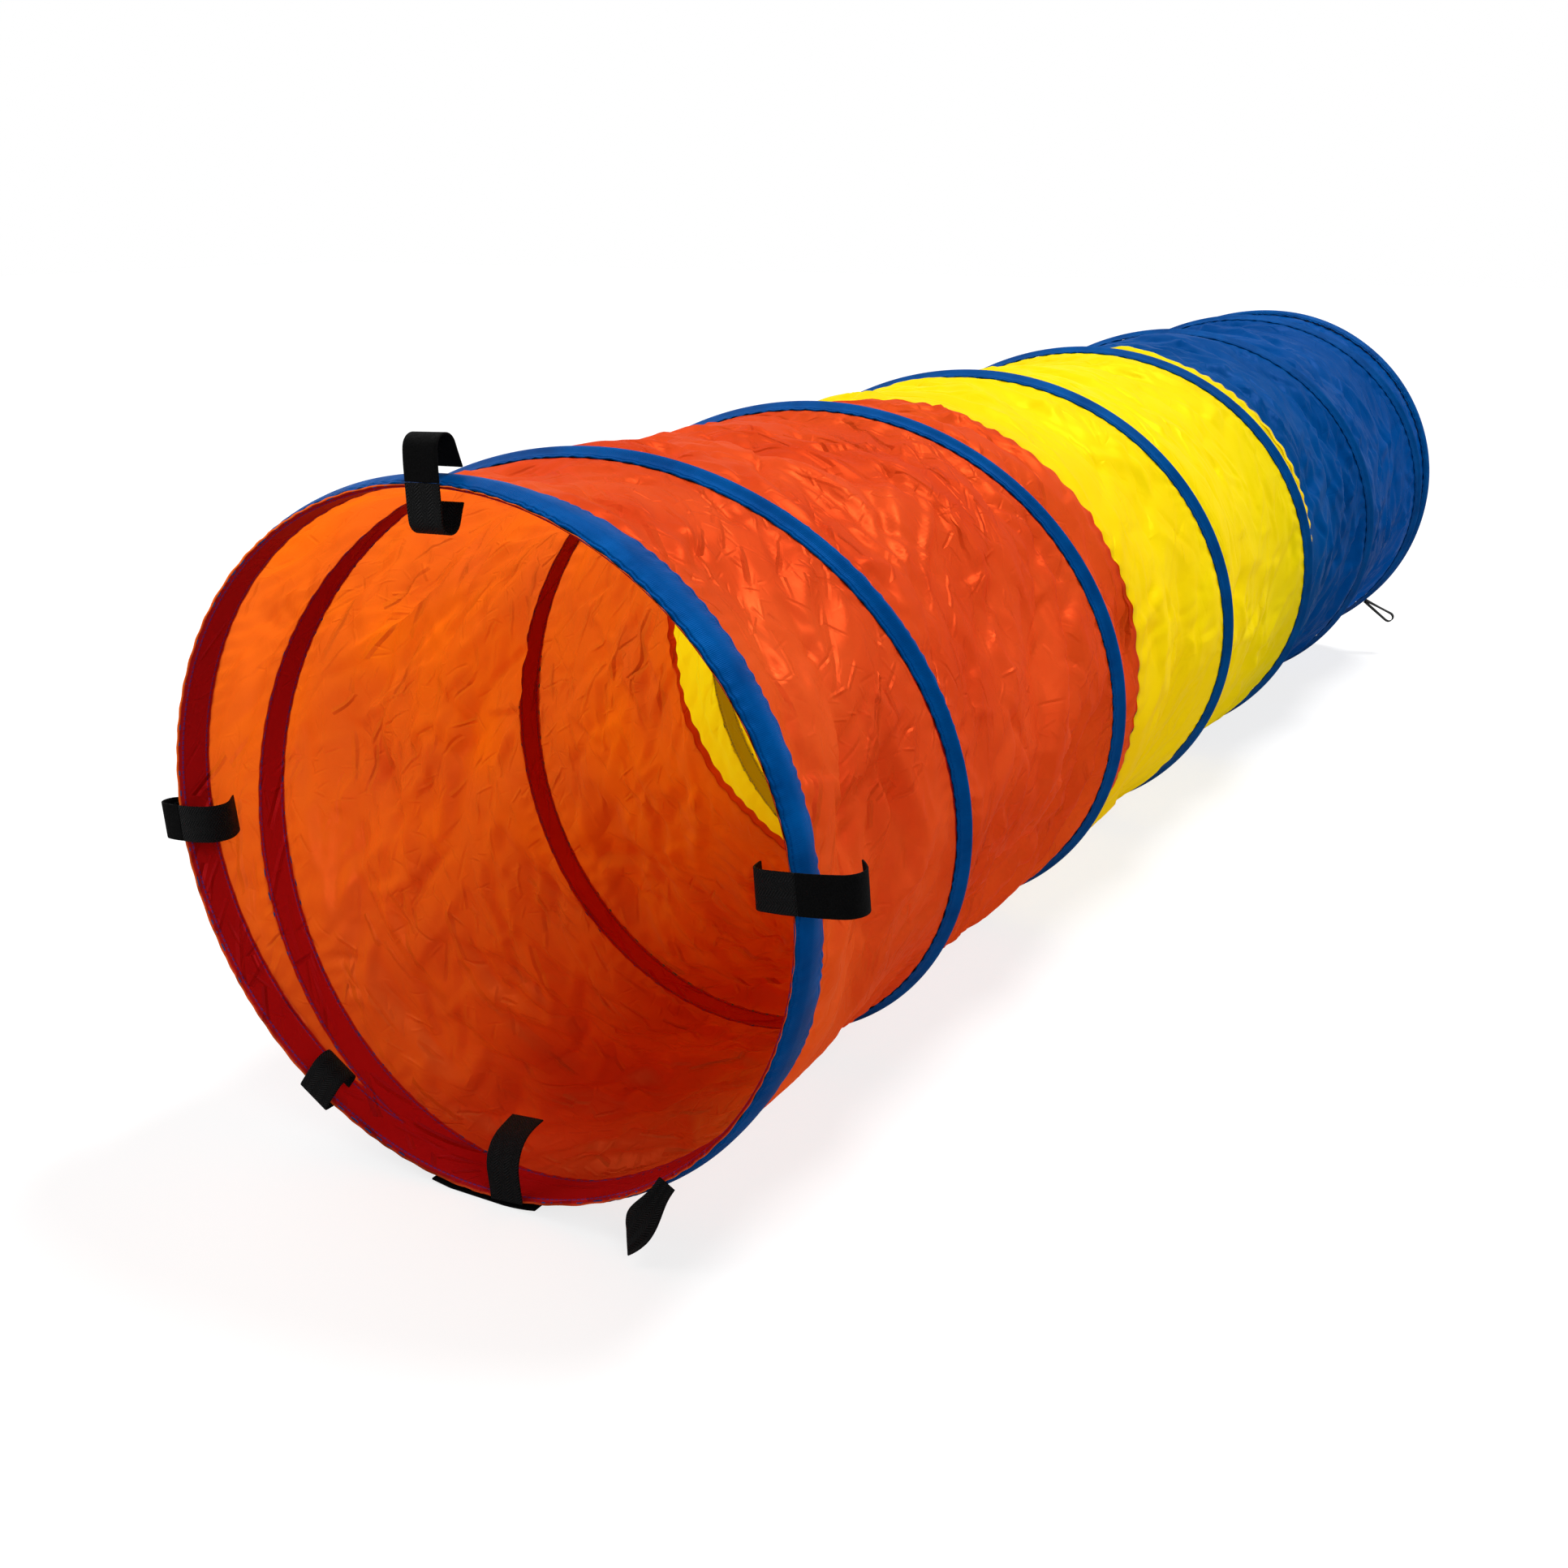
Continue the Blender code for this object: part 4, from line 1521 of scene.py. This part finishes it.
@dataclass
class Studio:
    """Floor, light, backdrop and camera.

    Attributes:
        camera_place: Where the camera is.
        camera_turn: How it's turned, in degrees.
        lens: Its focal length, in millimetres.
        key: Strength of the sun behind the tunnel.
        side: Strength of the sun at its right.
        fill: Strength of the sun at its left.
        sky: Strength of the light from all round.
        floor_reach: How far the floor reaches each way.
        floor_grey: Grey of the floor, for the light that it throws back.
        shown_grey: Grey of the floor where the camera sees it.
        shown_lift: Light that is added there, so that the floor shows white.
    """

    camera_place: tuple[float, float, float] = (0.66645, -1.68694, 0.61293)
    camera_turn: tuple[float, float, float] = (71.81, 0.0, 29.23)
    lens: float = 41.09
    key: float = 3.3
    side: float = 1.0
    fill: float = 2.2
    sky: float = 0.12
    floor_reach: float = 12.0
    floor_grey: float = 0.45
    shown_grey: float = 0.24
    shown_lift: float = 0.78

    def build(self) -> None:
        """Build the studio."""
        self._camera()
        self._floor()
        self._lamps()
        self._world()

    def _camera(self) -> None:
        """Set the camera where the photograph was taken from."""
        data = bpy.data.cameras.new("camera")
        data.lens = self.lens
        data.sensor_width = 36.0
        made = bpy.data.objects.new("camera", data)
        made.location = self.camera_place
        made.rotation_euler = tuple(math.radians(turn) for turn in self.camera_turn)
        bpy.context.scene.collection.objects.link(made)
        bpy.context.scene.camera = made

    def _floor(self) -> None:
        """Make the pale floor, which shows white and keeps the tunnel's shadow."""
        mesh = bpy.data.meshes.new("floor")
        with edited(mesh) as plane:
            bmesh.ops.create_grid(plane, x_segments=1, y_segments=1, size=self.floor_reach)
        made = Finish("floor")
        pale = made.node("ShaderNodeBsdfDiffuse", {"Color": grey(self.floor_grey)})
        seen = made.node("ShaderNodeBsdfDiffuse", {"Color": grey(self.shown_grey)})
        lift = made.node("ShaderNodeEmission", {"Strength": self.shown_lift})
        white = made.node("ShaderNodeAddShader", {0: seen.outputs[0], 1: lift.outputs[0]})
        path = made.node("ShaderNodeLightPath").outputs
        mesh.materials.append(made.finish(made.blend(path["Is Camera Ray"], pale.outputs[0],
                                                     white.outputs[0])))
        floor = bpy.data.objects.new("floor", mesh)
        bpy.context.scene.collection.objects.link(floor)

    def _lamps(self) -> None:
        """Hang three suns: one high behind the tunnel, one at its right and a wide left one."""
        for name, towards, spread, power in (
                ("key", (0.5, 1.1, 2.1), 18.0, self.key),
                ("side", (1.7, -1.0, 1.3), 30.0, self.side),
                ("fill", (-1.5, 0.2, 1.3), 60.0, self.fill)):
            data = bpy.data.lights.new(name, "SUN")
            data.angle = math.radians(spread)
            data.energy = power
            lamp = bpy.data.objects.new(name, data)
            lamp.rotation_euler = Vector(towards).to_track_quat("Z", "Y").to_euler()
            bpy.context.scene.collection.objects.link(lamp)

    def _world(self) -> None:
        """Light the tunnel evenly from all round, and show white behind it."""
        world = bpy.data.worlds.new("studio")
        bpy.context.scene.world = world
        world.use_nodes = True
        made = NodeGraph(world.node_tree)
        light = made.node("ShaderNodeBackground", {"Color": grey(1.0), "Strength": self.sky})
        white = made.node("ShaderNodeBackground", {"Color": grey(1.0)})
        path = made.node("ShaderNodeLightPath").outputs
        seen = made.maths("MAXIMUM", path["Is Camera Ray"], path["Is Glossy Ray"])
        seen = made.maths("MAXIMUM", seen, path["Is Transmission Ray"])
        shown = made.blend(seen, light.outputs[0], white.outputs[0])
        made.node("ShaderNodeOutputWorld", {0: shown})


# Each cloth's darker colour where a tape lies behind it is painted shade, for the light that the
# tape keeps from coming through
ORANGE_TAFFETA = Taffeta("orange_taffeta", colour=(0.68, 0.088, 0.020),
                         shade=(0.58, 0.056, 0.012), glow=(1.0, 0.18, 0.004),
                         tape_shade=(0.32, 0.006, 0.008), seam_line=(0.72, 0.055, 0.010),
                         stitch=(0.10, 0.02, 0.12), gleam=(1.0, 0.36, 0.12), satin=0.20,
                         relief=1.5, through=0.40)
YELLOW_TAFFETA = Taffeta("yellow_taffeta", colour=(1.0, 0.84, 0.004),
                         shade=(0.96, 0.76, 0.004), glow=(1.0, 0.84, 0.006),
                         tape_shade=(0.40, 0.34, 0.004), seam_line=(0.80, 0.50, 0.02),
                         stitch=(0.10, 0.12, 0.10), gleam=(1.0, 0.9, 0.2), satin=0.06,
                         relief=0.5, through=0.40)
BLUE_TAFFETA = Taffeta("blue_taffeta", colour=(0.0, 0.070, 0.28),
                       shade=(0.0, 0.055, 0.23), glow=(0.0, 0.10, 0.50),
                       tape_shade=(0.0, 0.03, 0.13), seam_line=(0.0, 0.05, 0.2),
                       stitch=(0.005, 0.05, 0.2), gleam=(0.02, 0.25, 0.6), satin=0.04,
                       relief=0.5, through=0.25)


def dress_steel(nodes: dict[str, bpy.types.Object]) -> None:
    """Give the wires and ferrules that stay from the CAD model their steel.

    Args:
        nodes: The model's objects by name.
    """
    wire = SpringSteel("drawn_wire", 0.25).build()
    crimp = SpringSteel("crimped_sleeve", 0.38).build()
    for node, material in (("front_hoop", wire), ("rear_hoop", wire),
                           ("front_ferrule", crimp), ("rear_ferrule", crimp)):
        for slot in nodes[node].material_slots:
            slot.material = material
        LOG.info("%s stays from the CAD model", node)


def main() -> None:
    """Build the tunnel's pieces and the studio."""
    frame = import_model()
    dress_steel(frame["nodes"])
    CoilWire(SpringSteel("coil_steel", 0.25).build()).build()
    ClothPanel("orange_panel", 0.0, ORANGE_END, "front_end", Slot.ORANGE, ORANGE_TAFFETA,
               11).build()
    ClothPanel("yellow_panel", ORANGE_END, YELLOW_END, "turn_3", Slot.YELLOW, YELLOW_TAFFETA,
               12, crumple=0.6).build()
    ClothPanel("blue_panel", YELLOW_END, Tunnel.length, "turn_5", Slot.BLUE, BLUE_TAFFETA, 13,
               crumple=0.7).build()
    FelledSeam("orange_yellow_seam", ORANGE_END, "turn_3", Slot.ORANGE, ORANGE_TAFFETA).build()
    FelledSeam("yellow_blue_seam", YELLOW_END, "turn_5", Slot.YELLOW, YELLOW_TAFFETA).build()
    tape = BindingTape().build()
    HoopTape("front", "front_end", tape).build()
    HoopTape("rear", "rear_end", tape).build()
    CoilTape(tape).build()
    for strap in all_straps():
        strap.build()
    FloorStrap().build()
    Studio().build()
    bpy.context.scene.view_settings.view_transform = "Standard"


if __name__ == "__main__":
    logging.basicConfig(level=logging.INFO, format="%(message)s")
    main()
